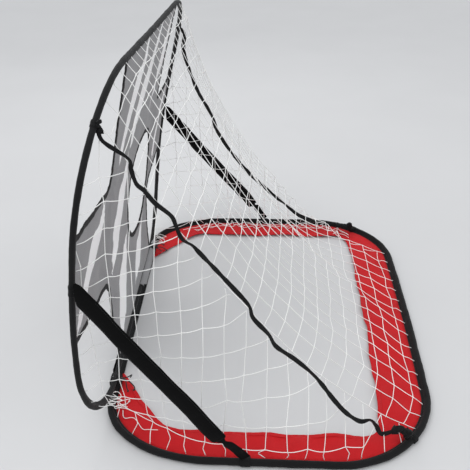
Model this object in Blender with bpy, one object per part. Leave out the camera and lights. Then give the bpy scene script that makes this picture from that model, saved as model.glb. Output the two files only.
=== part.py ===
"""Folding pop-up soccer goal with a target sheet, about 1.2 m wide.

Two spring-steel hoops in fabric sleeves are sewn together along one edge. One
lies on the ground with a wide fabric border, the other stands up and carries
the target sheet. Two side struts, each a two-section pole in a flat sleeve,
push the standing hoop forward, and the net pulls its top edge back, so the
hoop stands bowed. X is the width, +Y points away from the mouth, +Z is up.
"""

import bmesh
import bpy
from math import cos, pi, radians, sin, sqrt
from mathutils import Matrix, Vector

# ---------------------------------------------------------------- dimensions
WIDTH = 1.220            # outside width of both hoops
DEPTH_LINE = 0.900       # outside of the ground hoop's back edge, at the side
MOUTH_Y = 0.0673         # centre line of the sewn edge, at its right end
HEIGHT = 0.8914          # outside height of the standing hoop, along its bow
GROUND_R = 0.0105        # ground sleeve, over its corners
UPRIGHT_R = 0.0080       # upright sleeve, over its corners
FLAT = cos(radians(22.5))  # flat over corner of an eight-sided section
GAP = 0.0004             # between pieces that touch

GROUND_FRONT = (0.1934, 0.2632)   # front corner radii, across and along
GROUND_REAR = 0.250               # rear corner radius of the centre line
GROUND_BULGE = 0.0145             # the back edge bows outward
UPRIGHT_FOOT = (0.2634, 0.2407)   # lower corner radii, across and up
UPRIGHT_HEAD = 0.2985             # upper corner radius
UPRIGHT_DIP = -0.0085             # the top edge dips in its middle

RACK_FOOT = -0.038       # the left end of the sewn edge stands this far forward
RACK_HEAD = 0.050        # the left end of the top edge leans this far back
LEAN = (-0.1274, 0.5778, -0.152, -0.0853)  # lean angle up the bow, a cubic

WIRE_R = 0.0020
GROUND_Z = GROUND_R * FLAT
HINGE_Z = 2 * GROUND_Z + UPRIGHT_R + GAP
HALF_G = WIDTH / 2 - GROUND_R
HALF_U = WIDTH / 2 - UPRIGHT_R
TOP_V = HEIGHT - 2 * UPRIGHT_R

BORDER_T = 0.0012
BORDER_Z = 0.0045
SHEET_T = 0.0012         # target sheet
BINDING = (0.010, 0.0024)
NET_T = 0.0010

STRUT_WIDTH = 0.042
STRUT_HALF_T = 0.0052
STRUT_X = HALF_U + 0.0104 + 0.0006 + STRUT_HALF_T
POLE_R = 0.0035
SLEEVE_END = 0.504       # length of a strut's sleeve
ELBOW = SLEEVE_END / 2
STRUT = {                # pivot (y, z), then where the tail meets the ground hoop
    "right": (0.075, 0.514, 0.427),
    "left": (0.074, 0.460, 0.451),
}

# ------------------------------------------------------------------ shapes


def rack(x, foot, head, rise):
    """How far the fabric frame is pushed out of square at x, at this share of the rise."""
    side = 0.5 - x / WIDTH
    return side * (foot * (1 - rise) + head * rise)


def lean_profile(steps=90):
    """The bow of the standing hoop: running length, then y and z of its middle line."""
    rows = [(0.0, 0.0, 0.0)]
    for k in range(steps):
        t = (k + 0.5) / steps
        a = LEAN[0] + LEAN[1] * t + LEAN[2] * t * t + LEAN[3] * t ** 3
        v, y, z = rows[-1]
        d = TOP_V / steps
        rows.append((v + d, y + d * sin(a), z + d * cos(a)))
    return rows


PROFILE = lean_profile()


def bow(v):
    """y, z and lean angle of the bow at running length v."""
    t = min(max(v / TOP_V, 0.0), 1.0)
    angle = LEAN[0] + LEAN[1] * t + LEAN[2] * t * t + LEAN[3] * t ** 3
    n = len(PROFILE) - 1
    k = min(int(t * n), n - 1)
    a, b = PROFILE[k], PROFILE[k + 1]
    f = (min(max(v, 0.0), TOP_V) - a[0]) / (b[0] - a[0])
    over = v - min(max(v, 0.0), TOP_V)
    return (a[1] + (b[1] - a[1]) * f + over * sin(angle),
            a[2] + (b[2] - a[2]) * f + over * cos(angle), angle)


def on_ground(x, y, z=GROUND_Z):
    return Vector((x, y + rack(x, RACK_FOOT, 0.0, y / DEPTH_LINE), z))


def on_upright(x, v, off=0.0):
    """A point of the standing hoop's bowed surface, off along its back normal."""
    y, z, a = bow(v)
    shift = rack(x, RACK_FOOT, RACK_HEAD, v / TOP_V)
    return Vector((x, MOUTH_Y + y + shift + off * cos(a), HINGE_Z + z - off * sin(a)))


def plan(half, y0, y1, front, rear, bulge, corner=9, side=3):
    """Centre line of a hoop laid flat, from the middle of its far edge round to it again."""
    fx, fy = front
    points = []

    def arc(cx, cy, rx, ry, start, skip=0):
        for k in range(skip, corner + 1):
            a = radians(start + 90 * k / corner)
            points.append((cx + rx * cos(a), cy + ry * sin(a)))

    def line(a, b, n):
        for k in range(1, n):
            points.append((a[0] + (b[0] - a[0]) * k / n, a[1] + (b[1] - a[1]) * k / n))

    points.append((0.0, y1))
    line((0.0, y1), (-(half - rear), y1), 3)
    arc(-(half - rear), y1 - rear, rear, rear, 90)
    line((-half, y1 - rear), (-half, y0 + fy), side)
    arc(-(half - fx), y0 + fy, fx, fy, 180)
    line((-(half - fx), y0), (half - fx, y0), 4)
    arc(half - fx, y0 + fy, fx, fy, 270)
    line((half, y0 + fy), (half, y1 - rear), side)
    arc(half - rear, y1 - rear, rear, rear, 0)
    line((half - rear, y1), (0.0, y1), 3)
    mid = (y0 + y1) / 2
    return [(x, y + (bulge * (y - mid) / (y1 - mid) * cos(pi / 2 * x / (half + GROUND_R))
                     if y > mid else 0.0)) for x, y in points]


def ground_plan(corner=9, side=3):
    return plan(HALF_G, MOUTH_Y, DEPTH_LINE - GROUND_R, GROUND_FRONT, GROUND_REAR,
                GROUND_BULGE, corner, side)


def upright_plan(corner=9, side=4):
    return plan(HALF_U, 0.0, TOP_V, UPRIGHT_FOOT, UPRIGHT_HEAD, UPRIGHT_DIP, corner, side)


GROUND_LINE = [(on_ground(x, y), Vector((0, 0, 1))) for x, y in ground_plan()]
UPRIGHT_LINE = [(on_upright(x, v), Vector((0, cos(bow(v)[2]), -sin(bow(v)[2]))))
                for x, v in upright_plan()]


def frames(line, closed):
    """Point, outward vector and cross vector at each point of a line."""
    n = len(line)
    middle = sum((p for p, _ in line), Vector()) / n
    out = []
    for i, (p, k) in enumerate(line):
        a = line[(i - 1) % n][0] if closed or i else p
        b = line[(i + 1) % n][0] if closed or i < n - 1 else p
        t = (b - a).normalized()
        k = (k - t * k.dot(t)).normalized()
        o = t.cross(k)
        if o.dot(p - middle) < 0:
            o = -o
        out.append((p, o, k))
    return out


def ring(radius, sides, turn=0.0):
    return [(radius * cos(radians(turn) + 2 * pi * k / sides),
             radius * sin(radians(turn) + 2 * pi * k / sides)) for k in range(sides)]


# ------------------------------------------------------------------ meshes
OBJECTS = []


def finish(name, bm, body, material, smooth=False, turn=50):
    bmesh.ops.remove_doubles(bm, verts=bm.verts, dist=1e-7)
    bmesh.ops.recalc_face_normals(bm, faces=bm.faces)
    if bm.calc_volume(signed=True) < 0:
        bmesh.ops.reverse_faces(bm, faces=bm.faces)
    mesh = bpy.data.meshes.new(name)
    bm.to_mesh(mesh)
    bm.free()
    mesh.materials.append(material)
    if smooth:
        mesh.shade_smooth()
        mesh.set_sharp_from_angle(angle=radians(turn))
    obj = bpy.data.objects.new(name, mesh)
    bpy.context.scene.collection.objects.link(obj)
    OBJECTS.append((obj, body))
    return obj


def sweep(bm, rows, section, closed, hollow=False):
    """Skin a closed section along frames. An open sweep gets flat ends, and a hollow section, its outside followed by its inside, gets them as a band."""
    loops = []
    for p, o, k in rows:
        loops.append([bm.verts.new(p + o * a + k * b) for a, b in section])
    n, m = len(loops), len(section)
    for i in range(n if closed else n - 1):
        a, b = loops[i], loops[(i + 1) % n]
        for j in range(m):
            bm.faces.new((a[j], a[(j + 1) % m], b[(j + 1) % m], b[j]))
    if not closed:
        for loop in (loops[0], loops[-1]):
            if hollow:
                for j in range(m // 2 - 1):
                    bm.faces.new((loop[j], loop[j + 1], loop[m - 2 - j], loop[m - 1 - j]))
            else:
                bmesh.ops.triangulate(bm, faces=[bm.faces.new(loop)])


def tube(bm, rows, outer, inner):
    """A straight-through tube with open ends along frames; both sections have as many points."""
    shells = []
    for section in (outer, inner):
        shells.append([[bm.verts.new(p + o * a + k * b) for a, b in section]
                       for p, o, k in rows])
    m = len(outer)
    for loops, step in ((shells[0], 1), (shells[1], -1)):
        for a, b in zip(loops, loops[1:]):
            for j in range(m):
                quad = (a[j], a[(j + 1) % m], b[(j + 1) % m], b[j])
                bm.faces.new(quad[::step])
    for end, step in ((0, -1), (-1, 1)):
        a, b = shells[0][end], shells[1][end]
        for j in range(m):
            quad = (a[j], a[(j + 1) % m], b[(j + 1) % m], b[j])
            bm.faces.new(quad[::step])


def sleeve_section(outer, inner, slit=0.0006):
    """A fabric sleeve: an eight-sided outside, a six-sided inside, and the slit of its seam on the inward side."""
    pts = [(-outer * FLAT, -slit)]
    pts += [(outer * cos(radians(a)), outer * sin(radians(a)))
            for a in (202.5, 247.5, 292.5, 337.5, 22.5, 67.5, 112.5, 157.5)]
    pts += [(-outer * FLAT, slit)]
    flat = inner * cos(radians(30))
    pts += [(-flat, slit)]
    pts += [(inner * cos(radians(a)), inner * sin(radians(a)))
            for a in (150, 90, 30, -30, -90, -150)]
    pts += [(-flat, -slit)]
    return pts


def make_sleeve(name, line, outer, inner, body, material):
    bm = bmesh.new()
    sweep(bm, frames(line, True), sleeve_section(outer, inner), True)
    return finish(name, bm, body, material, smooth=True)


def make_wire(name, line, body, material):
    """The hoop's wire, one bend all the way round, whose two ends meet inside the ferrule."""
    rows = frames(line, True)
    p, o, k = rows[0]
    along = (rows[1][0] - rows[-1][0]).normalized()
    start = (p + along * 0.0006, o, k)
    end = (p - along * 0.0006, o, k)
    bm = bmesh.new()
    sweep(bm, [start] + rows[1:] + [end], ring(WIRE_R, 6, 30), False)
    return finish(name, bm, body, material, smooth=True, turn=70)


def make_ferrule(name, line, body, material, length=0.044):
    rows = frames(line, True)
    p, o, k = rows[0]
    ahead, behind = rows[1][0] - p, rows[-1][0] - p
    near = [(p + behind.normalized() * length / 2, o, k), (p, o, k),
            (p + ahead.normalized() * length / 2, o, k)]
    bm = bmesh.new()
    tube(bm, near, ring(0.0038, 8, 22.5), ring(0.0025, 8, 22.5))
    return finish(name, bm, body, material, smooth=True)


def stretch(line, test, length):
    """Frames over this length of a hoop, centred on the point where test is least."""
    rows = frames(line, True)
    n = len(rows)
    best = None
    for i in range(n):
        a, b = rows[i], rows[(i + 1) % n]
        for j in range(40):
            f = j / 40
            score = test(a[0].lerp(b[0], f))
            if best is None or score < best[0]:
                best = (score, i, f)
    _, i, f = best
    a, b = rows[i], rows[(i + 1) % n]
    centre = a[0].lerp(b[0], f)

    def walk(step):
        out, here, left, at = [], centre, length / 2, i if step > 0 else i + 1
        while True:
            nxt = rows[(at + step) % n]
            d = (nxt[0] - here).length
            if d >= left:
                share = left / d
                prev = rows[at % n]
                out.append((here.lerp(nxt[0], share), prev[1].lerp(nxt[1], 0.5), nxt[2]))
                return out
            out.append(nxt)
            left -= d
            here = nxt[0]
            at += step

    back, ahead = walk(-1), walk(1)
    raw = [r[0] for r in reversed(back)] + [r[0] for r in ahead]
    ks = [r[2] for r in reversed(back)] + [r[2] for r in ahead]
    clean = [(raw[0], ks[0])]
    for p, k in zip(raw[1:], ks[1:]):
        if (p - clean[-1][0]).length > 0.003:
            clean.append((p, k))
    whole = sum((p for p, _ in line), Vector()) / n
    out = []
    for j, (p, k) in enumerate(clean):
        t = (clean[min(j + 1, len(clean) - 1)][0] - clean[max(j - 1, 0)][0]).normalized()
        k = (k - t * k.dot(t)).normalized()
        o = t.cross(k)
        if o.dot(p - whole) < 0:
            o = -o
        out.append((p, o, k))
    return out


def make_cuff(name, line, test, length, inner, outer, body, material, lips=None):
    """A band of webbing round a sleeve. With lips it stops short at these two angles from outward."""
    rows = stretch(line, test, length)
    bm = bmesh.new()
    if lips is None:
        tube(bm, rows, ring(outer, 8, 22.5), ring(inner, 8, 22.5))
    else:
        corners = [a for a in (-112.5, -67.5, -22.5, 22.5, 67.5, 112.5, 157.5, 202.5)
                   if lips[0] + 3 < a < lips[1] - 3]
        section = []
        for radius in (outer, inner):
            side = []
            for a in (lips[0], *corners, lips[1]):
                off = ((a + 22.5) % 45) - 22.5
                r = radius * FLAT / cos(radians(off))
                side.append((r * cos(radians(a)), r * sin(radians(a))))
            section += side if radius == outer else side[::-1]
        sweep(bm, rows, section, False, hollow=True)
    return finish(name, bm, body, material, smooth=True)


def thick_grid(bm, grid, thickness):
    """A closed skin of this thickness about a grid of points."""
    n, m = len(grid), len(grid[0])
    top, low = [], []
    for i in range(n):
        top.append([])
        low.append([])
        for j in range(m):
            a = grid[min(i + 1, n - 1)][j] - grid[max(i - 1, 0)][j]
            b = grid[i][min(j + 1, m - 1)] - grid[i][max(j - 1, 0)]
            normal = a.cross(b)
            normal = normal.normalized() if normal.length > 1e-12 else Vector((0, 0, 1))
            top[-1].append(bm.verts.new(grid[i][j] + normal * thickness / 2))
            low[-1].append(bm.verts.new(grid[i][j] - normal * thickness / 2))
    for i in range(n - 1):
        for j in range(m - 1):
            bm.faces.new((top[i][j], top[i + 1][j], top[i + 1][j + 1], top[i][j + 1]))
            bm.faces.new((low[i][j], low[i][j + 1], low[i + 1][j + 1], low[i + 1][j]))
    rim = [(i, 0) for i in range(n)] + [(n - 1, j) for j in range(1, m)]
    rim += [(i, m - 1) for i in range(n - 2, -1, -1)] + [(0, j) for j in range(m - 2, 0, -1)]
    for (i, j), (k, l) in zip(rim, rim[1:] + rim[:1]):
        bm.faces.new((top[i][j], top[k][l], low[k][l], low[i][j]))


def strip(bm, path, across, width, thickness):
    """A flat ribbon along a path, its width along across at each point."""
    n = len(path)
    rows = []
    for i in range(n):
        t = (path[min(i + 1, n - 1)] - path[max(i - 1, 0)]).normalized()
        w = (across[i] - t * across[i].dot(t)).normalized()
        rows.append((path[i], w, t.cross(w)))
    w, t = width / 2, thickness / 2
    sweep(bm, rows, [(-w, -t), (w, -t), (w, t), (-w, t)], False)


# --------------------------------------------------------------- the scene
for old in list(bpy.data.objects):
    bpy.data.objects.remove(old, do_unlink=True)


def paint(name, colour, roughness, metallic=0.0):
    material = bpy.data.materials.new(name)
    material.use_nodes = True
    shader = material.node_tree.nodes["Principled BSDF"]
    shader.inputs["Base Color"].default_value = (*colour, 1.0)
    shader.inputs["Roughness"].default_value = roughness
    shader.inputs["Metallic"].default_value = metallic
    material.diffuse_color = (*colour, 1.0)
    return material


BLACK = (0.012, 0.012, 0.014)


def fabric(name, colour=BLACK, roughness=0.85):
    return paint(name, colour, roughness)


# --------------------------------------------------------------- the hoops
make_sleeve("base_hoop_sleeve", GROUND_LINE, GROUND_R, 0.0078, "base", fabric("ground_sleeve"))
make_wire("base_hoop_wire", GROUND_LINE, "base", paint("ground_wire", (0.35, 0.36, 0.38), 0.35, 1.0))
make_ferrule("base_hoop_ferrule", GROUND_LINE, "base", paint("ground_ferrule", (0.55, 0.56, 0.58), 0.3, 1.0))
make_sleeve("upright_hoop_sleeve", UPRIGHT_LINE, UPRIGHT_R, 0.0056, "upright", fabric("upright_sleeve"))
make_wire("upright_hoop_wire", UPRIGHT_LINE, "upright", paint("upright_wire", (0.35, 0.36, 0.38), 0.35, 1.0))
make_ferrule("upright_hoop_ferrule", UPRIGHT_LINE, "upright", paint("upright_ferrule", (0.55, 0.56, 0.58), 0.3, 1.0))

# ------------------------------------------- the sewn hinge at the goal mouth
HINGE_HALF = 0.318
BACK_SEAM = max(UPRIGHT_R, GROUND_R) + GAP + 0.0004


def mouth(x):
    return on_ground(x, MOUTH_Y).y


bm = bmesh.new()
rows = []
for x in (-HINGE_HALF, -0.1, 0.1, HINGE_HALF):
    rows.append((Vector((x, mouth(x) - BACK_SEAM - 0.0006, 0.5 * (0.003 + 0.0330))),
                 Vector((0, -1, 0)), Vector((0, 0, 1))))
sweep(bm, rows, [(-0.0006, -0.0150), (0.0006, -0.0150), (0.0006, 0.0150), (-0.0006, 0.0150)], False)
finish("hinge_strip", bm, "base", fabric("hinge_webbing"))

for side, sx in (("right", 1), ("left", -1)):
    bm = bmesh.new()
    x0 = sx * 0.345
    inner, outer = GROUND_R + 0.0010, GROUND_R + 0.0026
    high = HINGE_Z - GROUND_Z
    sec = []
    for radius in (outer, inner):
        loop = []
        for a in (-10, -1, 8):
            loop.append((radius * cos(radians(a)), radius * sin(radians(a))))
        for a in (10, 50, 90, 130, 170):
            loop.append((radius * cos(radians(a)), high + radius * sin(radians(a))))
        for a in (172, 192, 212):
            loop.append((radius * cos(radians(a)), radius * sin(radians(a))))
        sec += loop if radius == outer else loop[::-1]
    rows = [(Vector((x, mouth(x), GROUND_Z)), Vector((0, 1, 0)), Vector((0, 0, 1)))
            for x in (x0 - 0.004, x0 + 0.004)]
    sweep(bm, rows, sec, False, hollow=True)
    finish(f"hinge_tie_{side}", bm, "base", fabric(f"hinge_tie_{side}"), smooth=True)


def filled(outlines):
    """A flat mesh inside the first outline and outside the others."""
    bm = bmesh.new()
    edges = []
    for outline in outlines:
        corners = [bm.verts.new(p) for p in outline]
        for a, b in zip(corners, corners[1:] + corners[:1]):
            edges.append(bm.edges.new((a, b)))
    bmesh.ops.triangle_fill(bm, use_beauty=True, use_dissolve=False, edges=edges)
    return bm


# ------------------------------------------------------------ ground border
EDGE = GROUND_R * FLAT + GAP
ground = frames(GROUND_LINE, True)


def inner_corner(cx, cy, r, start, n=5):
    return [Vector((cx + r * cos(radians(start + 90 * k / n)),
                    cy + r * sin(radians(start + 90 * k / n)), 0)) for k in range(n + 1)]


def border_outline():
    """Just inside the ground sleeve all round but the mouth, then back along the inner hem."""
    outside = []
    for p, o, _ in ground:
        q = p - o * EDGE
        if q.y < mouth(q.x) + 0.06 and -0.333 < q.x < 0.312:
            continue
        outside.append(q)
    start = max(range(len(outside)),
                key=lambda i: (outside[i] - outside[i - 1]).length)
    outside = outside[start:] + outside[:start]
    if outside[0].x < 0:
        outside.reverse()
    right_end = Vector((0.312, mouth(0.312) + EDGE, 0))
    left_end = Vector((-0.333, mouth(-0.333) + EDGE, 0))
    hem = [Vector((-0.318, mouth(-0.318) + EDGE, 0)), Vector((-0.462, 0.163, 0)),
           Vector((-0.484, 0.186, 0)), Vector((-0.4955, 0.222, 0)), Vector((-0.497, 0.46, 0))]
    hem += [Vector(p) for p in reversed(inner_corner(-0.447, 0.712, 0.050, 90))]
    hem += [Vector((x, 0.762 + 0.011 * cos(pi * x / 0.95), 0)) for x in (-0.26, -0.1, 0.1, 0.27)]
    hem += [Vector(p) for p in reversed(inner_corner(0.455, 0.712, 0.050, 0))]
    hem += [Vector((0.506, 0.46, 0)), Vector((0.5045, 0.250, 0)), Vector((0.494, 0.214, 0)),
            Vector((0.470, 0.190, 0)), Vector((0.298, mouth(0.298) + EDGE, 0))]
    return [right_end] + outside + [left_end] + hem


bm = filled([[(p.x, p.y, BORDER_Z) for p in border_outline()]])
grown = bmesh.ops.extrude_face_region(bm, geom=bm.faces[:])
for v in grown["geom"]:
    if isinstance(v, bmesh.types.BMVert):
        v.co.z += BORDER_T
finish("ground_border", bm, "base", fabric("red_border", (0.60, 0.012, 0.022), 0.7))

# -------------------------------------------------------------- target sheet
SHEET_EDGE = UPRIGHT_R * FLAT + GAP
SIDE_X = HALF_U - SHEET_EDGE
NOTCH_R = 0.055
# inner edge x, then heights of the level edge at the notch's corner and at the hoop
NOTCHES = {
    "top_right": (0.268, 0.542, 0.578),
    "bottom_right": (0.264, 0.275, 0.326),
    "top_left": (-0.338, 0.556, 0.562),
    "bottom_left": (-0.325, 0.275, 0.318),
}
CENTRE_HOLE = (-0.155, 0.357, 0.170, 0.160)


def head_v(x):
    """The top edge of the sheet, just inside the hoop and round its corners."""
    over = max(abs(x) - (HALF_U - UPRIGHT_HEAD), 0.0)
    r = UPRIGHT_HEAD - SHEET_EDGE
    v = TOP_V - UPRIGHT_HEAD + sqrt(r * r - over * over) - (0.0006 if over else 0.0)
    return v + UPRIGHT_DIP * cos(pi / 2 * x / (HALF_U + GROUND_R))


def notch_path(name, n=5):
    """The hem of a corner cut-out, from the hoop's end edge round to its side."""
    x, v_in, v_out = NOTCHES[name]
    s = 1 if "right" in name else -1
    up = 1 if "top" in name else -1
    end = head_v(x) if up > 0 else SHEET_EDGE
    slope = (v_out - v_in) / (SIDE_X - abs(x))
    pts = []
    top_of_arc = v_in + up * NOTCH_R
    steps = 4
    for k in range(steps):
        pts.append((x, end + (top_of_arc - end) * k / steps))
    for k in range(n + 1):
        a = radians(90 * k / n)
        px = x + s * NOTCH_R * (1 - cos(a))
        pv = v_in + up * NOTCH_R * (1 - sin(a)) + slope * (px - x) * s
        pts.append((px, pv))
    for k in (1, 2):
        px = x + s * NOTCH_R + (s * SIDE_X - x - s * NOTCH_R) * k / 2
        pts.append((px, v_in + slope * (px - x) * s))
    return pts


def centre_path(n=28):
    cx, cv, rx, rv = CENTRE_HOLE
    pts = []
    for k in range(n):
        a = 2 * pi * k / n
        c, s = cos(a), sin(a)
        e = 2 / 2.25
        pts.append((cx + rx * abs(c) ** e * (1 if c > 0 else -1),
                    cv + rv * abs(s) ** e * (1 if s > 0 else -1)))
    return pts


def sheet_outline():
    tr, br = notch_path("top_right"), notch_path("bottom_right")
    tl, bl = notch_path("top_left"), notch_path("bottom_left")
    pts = list(br)                                   # foot to right side
    pts += [(SIDE_X, 0.40), (SIDE_X, 0.49)]
    pts += list(reversed(tr))                        # right side to top
    pts += [(x, head_v(x)) for x in (0.14, 0.0, -0.14)]
    pts += list(tl)
    pts += [(-SIDE_X, 0.48), (-SIDE_X, 0.40)]
    pts += list(reversed(bl))
    pts += [(x, SHEET_EDGE) for x in (-0.14, 0.0, 0.14)]
    return pts


def flat_solid(outlines, levels, thickness):
    """A flat sheet with holes, cut into level rows so that it can follow the bow."""
    bm = filled([[(x, v, 0) for x, v in outline] for outline in outlines])
    for v in levels:
        bmesh.ops.bisect_plane(bm, geom=bm.verts[:] + bm.edges[:] + bm.faces[:],
                               dist=1e-6, plane_co=(0, v, 0), plane_no=(0, 1, 0))
    bmesh.ops.triangulate(bm, faces=bm.faces[:])
    grown = bmesh.ops.extrude_face_region(bm, geom=bm.faces[:])
    for v in grown["geom"]:
        if isinstance(v, bmesh.types.BMVert):
            v.co.z += thickness
    for v in bm.verts:
        v.co = on_upright(v.co.x, v.co.y, v.co.z - thickness / 2)
    return bm


bm = flat_solid([sheet_outline(), centre_path()],
                [0.075 * k + 0.03 for k in range(12)], SHEET_T)
finish("target_panel", bm, "upright", fabric("grey_sheet", (0.24, 0.24, 0.25), 0.8))


def binding(name, path, closed):
    """Edge tape on the open side of a hem."""
    bm = bmesh.new()
    n = len(path)
    w, t = BINDING
    pts = [Vector((x, v, 0)) for x, v in path]
    if not closed:
        for end, nxt in ((0, 1), (-1, -2)):
            pts[end] = pts[end] + (pts[nxt] - pts[end]).normalized() * 0.0022
    loops = []
    cx, cv = CENTRE_HOLE[0], CENTRE_HOLE[1]
    for i, p in enumerate(pts):
        a = pts[(i - 1) % n] if closed or i else p
        b = pts[(i + 1) % n] if closed or i < n - 1 else p
        d = (b - a).normalized()
        out = Vector((d.y, -d.x, 0))
        if closed:
            if out.dot(Vector((cx, cv, 0)) - p) < 0:
                out = -out
        else:
            s = 1 if "right" in name else -1
            up = 1 if "top" in name else -1
            if out.dot(Vector((s, up, 0))) < 0:
                out = -out
        row = []
        for o, z in ((GAP, -t / 2), (GAP + w, -t / 2), (GAP + w, t / 2), (GAP, t / 2)):
            q = p + out * o
            if not closed and i == 0:
                q.y = min(q.y, head_v(q.x) - 0.0018) if up > 0 else max(q.y, SHEET_EDGE + 0.0018)
            row.append(bm.verts.new(on_upright(q.x, q.y, z)))
        loops.append(row)
    for i in range(n if closed else n - 1):
        a, b = loops[i], loops[(i + 1) % n]
        for j in range(4):
            bm.faces.new((a[j], a[(j + 1) % 4], b[(j + 1) % 4], b[j]))
    if not closed:
        bm.faces.new(loops[0])
        bm.faces.new(loops[-1])
    finish(name, bm, "upright", fabric(name))


for key in NOTCHES:
    binding(f"binding_{key}", notch_path(key), False)
binding("binding_centre", centre_path(), True)

# ------------------------------------------------------------------- struts
STRUT_BODIES = {}
for side, sx in (("right", 1), ("left", -1)):
    py, pz, foot = STRUT[side]
    top = Vector((sx * STRUT_X, py, pz))
    end = Vector((sx * STRUT_X, foot, GROUND_Z + 0.008))
    along = (end - top).normalized()
    wide = Vector((0, -along.z, along.y))
    thick = Vector((1, 0, 0))
    STRUT_BODIES[side] = (top, along, wide)

    def row(s, at=top, wide=wide, thick=thick, along=along):
        return (at + along * s, wide, thick)

    h, t = STRUT_WIDTH / 2, STRUT_HALF_T
    section = [(-h, -0.0011), (-0.0075, -t), (0.0075, -t), (h, -0.0011),
               (h, 0.0011), (0.0075, t), (-0.0075, t), (-h, 0.0011)]
    channel = ring(POLE_R + 0.0005, 8, 202.5)
    for part, s0, s1 in (("upper", 0.004, ELBOW - 0.0004), ("lower", ELBOW + 0.0004, SLEEVE_END)):
        bm = bmesh.new()
        tube(bm, [row(s0), row((s0 + s1) / 2), row(s1)], section, channel)
        finish(f"strut_sleeve_{part}_{side}", bm, f"strut_{part}_{side}",
               fabric(f"strut_sleeve_{part}_{side}"), smooth=True, turn=20)
        bm = bmesh.new()
        p0, p1 = (s0 + 0.010, s1 - 0.0006) if part == "upper" else (s0 + 0.0006, s1 - 0.004)
        sweep(bm, [row(p0), row(p1)], ring(POLE_R, 8, 22.5), False)
        finish(f"strut_pole_{part}_{side}", bm, f"strut_{part}_{side}",
               paint(f"pole_{part}_{side}", (0.02, 0.02, 0.02), 0.4), smooth=True)
    # webbing tail from the end of the sleeve, down the outside of the ground hoop
    a = top + along * (SLEEVE_END + 0.0012)
    b = Vector((sx * (HALF_G + (GROUND_R + 0.0022) * FLAT + 0.0014), foot, GROUND_Z + 0.0035))
    path, across = [], []
    for k in range(6):
        f = k / 5
        p = a.lerp(b, f)
        p.x = a.x + (b.x - a.x) * (3 * f * f - 2 * f ** 3)
        path.append(p)
        across.append(wide)
    bm = bmesh.new()
    strip(bm, path, across, 0.025, 0.0016)
    finish(f"strut_tail_{side}", bm, f"strut_lower_{side}", fabric(f"strut_tail_{side}"))
    make_cuff(f"strut_top_cuff_{side}", UPRIGHT_LINE,
              lambda p, c=Vector((sx * HALF_U, py, pz)): (p - c).length,
              0.046, UPRIGHT_R + 0.0006, UPRIGHT_R + 0.0022, "upright",
              fabric(f"strut_top_cuff_{side}"), lips=(-150, 150))
    make_cuff(f"strut_base_cuff_{side}", GROUND_LINE,
              lambda p, c=Vector((sx * HALF_G, foot, GROUND_Z)): (p - c).length,
              0.027, GROUND_R + 0.0006, GROUND_R + 0.0022, "base",
              fabric(f"strut_base_cuff_{side}"), lips=(-36, 188))

# ------------------------------------------------- net and tension straps
CREASE = {  # upper end on the standing hoop, lower end on the ground hoop, sag
    "right": (Vector((0.503, 0.132, 0.815)), Vector((0.509, 0.836, GROUND_Z)), 0.085),
    "left": (Vector((-0.542, 0.156, 0.773)), Vector((-0.545, 0.790, GROUND_Z)), 0.115),
}


NET_FOLD = {  # where the net's own fold meets the ground hoop, its sag, and how far forward the sag sits
    "right": (CREASE["right"][1], 0.085, 0.0),
    "left": (Vector((-0.385, 0.835, GROUND_Z)), 0.155, 0.032),
}


def fold_line(side, f):
    """Where the side of the net turns into its back slope: a hanging line."""
    a = CREASE[side][0]
    b, sag, forward = NET_FOLD[side]
    p = a.lerp(b, f)
    p.z -= 4 * sag * f * (1 - f) * (1 + forward * (1 - 2 * f))
    p.z = max(p.z, 0.012)
    return p


def crease(side, f):
    """The line between a strap's two knots, with the sag of the net that it lies along."""
    a, b, sag = CREASE[side]
    p = a.lerp(b, f)
    p.z -= 4 * sag * f * (1 - f)
    p.z = max(p.z, 0.012)
    return p


def foot_of(side, y):
    """The ground hoop's side at this depth."""
    s = 1 if side == "right" else -1
    rows = [p for p, _ in GROUND_LINE if p.x * s > 0.05 and p.y > MOUTH_Y]
    best = min(rows, key=lambda p: abs(p.y - y) - 0.2 * abs(p.x))
    x = HALF_G
    rear = DEPTH_LINE - GROUND_R - GROUND_REAR
    if y > rear:
        q = min((y - rear) / GROUND_REAR, 0.999)
        x = HALF_G - GROUND_REAR + GROUND_REAR * sqrt(1 - q * q)
    return Vector((s * x, y, GROUND_Z)) if best is not None else None


def side_of_upright(side, v):
    """The standing hoop's side at this height, following its corners."""
    s = 1 if side == "right" else -1
    fx, fy = UPRIGHT_FOOT
    x = HALF_U
    if v < fy:
        q = (fy - v) / fy
        x = HALF_U - fx + fx * sqrt(max(1 - q * q, 0))
    elif v > TOP_V - UPRIGHT_HEAD:
        q = (v - (TOP_V - UPRIGHT_HEAD)) / UPRIGHT_HEAD
        x = HALF_U - UPRIGHT_HEAD + UPRIGHT_HEAD * sqrt(max(1 - q * q, 0))
    return on_upright(s * x, v, 0.016)


for side, sx in (("right", 1), ("left", -1)):
    low = NET_FOLD[side][0]
    grid = []
    for i in range(10):
        a = i / 9 * 0.93
        over = fold_line(side, a)
        over.z = max(over.z - 0.012, 0.015)
        over.x += sx * 0.010
        under = foot_of(side, 0.145 + (low.y - 0.145 - 0.03) * a)
        under.z = 0.027
        under.x -= sx * 0.012
        column = []
        for j in range(8):
            h = j / 7
            p = under.lerp(over, h)
            p.x = under.x + (over.x - under.x) * h * h
            if i < 9:
                tube_p = side_of_upright(side, 0.10 + h * (0.685 if side == "right" else 0.63))
                w = (1 - a) ** 3
                p = p.lerp(Vector((tube_p.x - sx * 0.002, tube_p.y, tube_p.z)), w)
            column.append(p)
        grid.append(column)
    bm = bmesh.new()
    thick_grid(bm, grid, NET_T)
    finish(f"net_side_{side}", bm, "base", fabric(f"net_side_{side}", (0.80, 0.80, 0.80)), smooth=True)

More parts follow.
